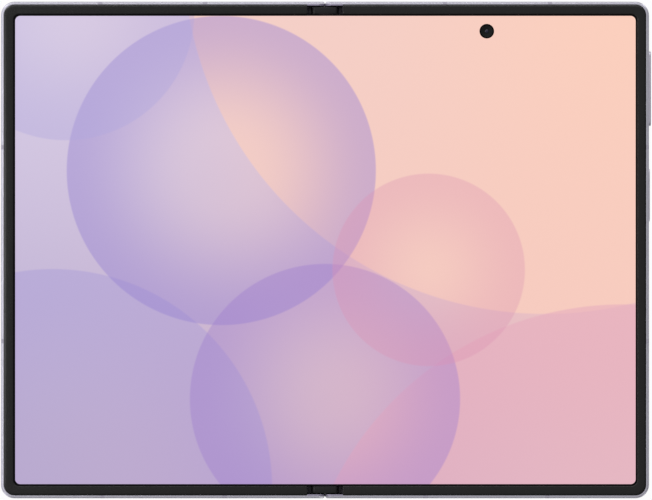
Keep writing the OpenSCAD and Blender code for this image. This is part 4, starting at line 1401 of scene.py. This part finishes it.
class CadFinishes:
    """Finishes of the CAD nodes that stay in view."""

    TABLE: dict[Finish, str] = {
        Finishes.RIM: "right_frame left_frame sim_tray",
        Finishes.BAND: "right_antenna_bands left_antenna_bands",
        Finishes.MODULE: "rear_camera_modules bottom_speaker top_speaker",
        Finishes.BATTERY: "right_battery left_battery",
        Finishes.BOARD: "main_board left_board usb_board",
        Finishes.CAN: "shield_cans haptic_motor",
        Finishes.TONGUE: "usb_tongue",
        Finishes.COPPER: "vapor_chamber charging_coil",
        Finishes.MAGNET: "right_magnets left_magnets",
        Finishes.SENSOR: "fingerprint_sensor",
        Finishes.SPINE: "spine_cover",
        Finishes.HINGE_DARK: "hinge_brackets",
        Finishes.BRASS: "right_idler_gears left_idler_gears",
        Finishes.DARK_GLASS: "cover_display",
        Finishes.LENS: "cover_camera",
        Finishes.STEEL: "usb_shell key_switches right_hinge_arms left_hinge_arms "
                        "right_hinge_screws left_hinge_screws left_shaft right_shaft idler_pins "
                        "disc_springs shaft_collars right_wing_plate left_wing_plate",
    }

    @classmethod
    def dress(cls) -> None:
        """Gives each CAD node that is shown its finish."""
        for finish, names in cls.TABLE.items():
            for name in names.split():
                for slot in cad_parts[name].material_slots:
                    slot.material = finish.material()
                LOG.info("%s: %s", name, finish.name)


# ---- Studio ----


@dataclass(frozen=True)
class Lamp:
    """One soft rectangular lamp that faces the phone: place and size in metres, and power."""

    name: str
    at: Triple
    size: Pair
    watts: float

    def build(self) -> None:
        """Adds the lamp, turned to the origin."""
        data = bpy.data.lights.new(self.name, "AREA")
        data.shape = "RECTANGLE"
        data.size, data.size_y = self.size
        data.energy = self.watts
        holder = Surface.linked(self.name, data)
        holder.location = self.at
        holder.rotation_euler = holder.location.to_track_quat("Z", "Y").to_euler()


@dataclass
class Studio:
    """Pale floor, soft light mostly from the upper left, and the camera straight above."""

    lens: float = 443.5
    sensor_w: float = 36.0
    clip: Pair = (0.05, 20.0)
    camera_at: Triple = (0.25, 0.0, 2006.3)
    lamps: tuple[Lamp, ...] = (
        Lamp("upper_left_key", (-0.38, 0.38, 0.42), (0.14, 0.14), 0.55),
        Lamp("left_strip", (-0.38, 0.0, 0.50), (0.05, 0.5), 0.46),
        Lamp("top_strip", (0.0, 0.38, 0.50), (0.5, 0.05), 0.54),
        Lamp("upper_left_edge", (-0.5, 0.5, 0.08), (0.14, 0.14), 0.22),
        Lamp("upper_right_edge", (0.5, 0.5, 0.08), (0.14, 0.14), 0.3),
        Lamp("lower_left_edge", (-0.5, -0.5, 0.08), (0.14, 0.14), 0.2),
        Lamp("lower_right_edge", (0.5, -0.5, 0.08), (0.14, 0.14), 0.12),
    )
    world_strength: float = 0.50
    world_least: float = 0.02
    world_lean: Triple = (-0.34, 0.32, 0.10)
    floor_reach: float = 3.0
    floor_z: float = -1e-5
    floor_grey: tuple[float, float, float, float] = (0.86, 0.86, 0.86, 1.0)
    floor_glow: float = 0.97
    floor_gloss: float = 0.35
    contact_reach: float = 0.004

    def floor(self) -> None:
        """Wide plain floor that looks white and keeps the object's shadow.

        From below, and for the faces that rest on it, it is clear, so that the underside is lit.
        """
        signs = ((-1, -1), (1, -1), (1, 1), (-1, 1))
        corners = [(x * self.floor_reach, y * self.floor_reach, self.floor_z) for x, y in signs]
        mesh = bpy.data.meshes.new("floor")
        mesh.from_pydata(corners, [], [[0, 1, 2, 3]])
        ground = Surface.linked("floor", mesh)
        made, nodes, shader = Nodes.material("pale_floor")
        nodes.tree.nodes.remove(shader)
        rays = nodes.add("ShaderNodeLightPath").outputs
        direct = nodes.maths("MULTIPLY", rays["Is Camera Ray"], self.floor_glow)
        mirrored = nodes.maths("MULTIPLY", rays["Is Glossy Ray"], self.floor_gloss)
        share = nodes.maths("MAXIMUM", direct, mirrored)
        plain = nodes.add("ShaderNodeBsdfDiffuse", {"Color": self.floor_grey}).outputs[0]
        white = nodes.add("ShaderNodeEmission").outputs[0]
        mix = nodes.add("ShaderNodeMixShader", {0: share, 1: plain, 2: white}).outputs[0]
        under = nodes.add("ShaderNodeNewGeometry").outputs["Backfacing"]
        near = nodes.maths("LESS_THAN", rays["Ray Length"], self.contact_reach)
        hidden = nodes.maths("MAXIMUM", under, near)
        clear = nodes.add("ShaderNodeBsdfTransparent").outputs[0]
        seen = nodes.add("ShaderNodeMixShader", {0: hidden, 1: mix, 2: clear}).outputs[0]
        nodes.feed(nodes.tree.nodes["Material Output"], {"Surface": seen})
        mesh.materials.append(made)

    def world(self) -> None:
        """Even pale surroundings, white where the camera sees them."""
        world = bpy.data.worlds.new("studio")
        world.use_nodes = True
        bpy.context.scene.world = world
        nodes = Nodes(world.node_tree)
        place = nodes.add("ShaderNodeTexCoord").outputs["Generated"]
        lean = nodes.vector("DOT_PRODUCT", place, self.world_lean).outputs["Value"]
        level = nodes.maths("ADD", lean, self.world_strength)
        level = nodes.maths("MAXIMUM", level, self.world_least)
        seen = nodes.add("ShaderNodeLightPath").outputs["Is Camera Ray"]
        strength = nodes.maths("MAXIMUM", level, seen)
        shade = {"Color": (1.0, 1.0, 1.0, 1.0), "Strength": strength}
        nodes.feed(world.node_tree.nodes["Background"], shade)

    def camera(self) -> None:
        """Camera with a long lens, which looks straight down with +Y up."""
        data = bpy.data.cameras.new("photo_camera")
        data.sensor_width = self.sensor_w
        data.lens = self.lens
        data.clip_start, data.clip_end = self.clip
        holder = Surface.linked("photo_camera", data)
        holder.location = [value * MM for value in self.camera_at]
        bpy.context.scene.camera = holder

    def build(self) -> None:
        """Builds the whole studio."""
        bpy.context.scene.view_settings.view_transform = "Standard"
        self.camera()
        self.floor()
        self.world()
        for lamp in self.lamps:
            lamp.build()


def main() -> None:
    """Builds the studio and every sub-assembly in order."""
    logging.basicConfig(level=logging.INFO, format="%(message)s")
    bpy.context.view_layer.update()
    Studio().build()
    CadFinishes.dress()
    FoldingScreen().build()
    for side in Side:
        RimTrim(side).build()
        Bezel(side).build()
    ScreenCamera().build()
    HingeEnds().build()
    SideKey("volume_bar", "volume_key", "volume", y=40.2, length=18.6, out=0.55).build()
    SideKey("side_bar", "power_key", "power", y=13.65, length=13.2, out=0.25).build()
    RearSide().build()
    CoverFace().build()


if __name__ == "__main__":
    main()
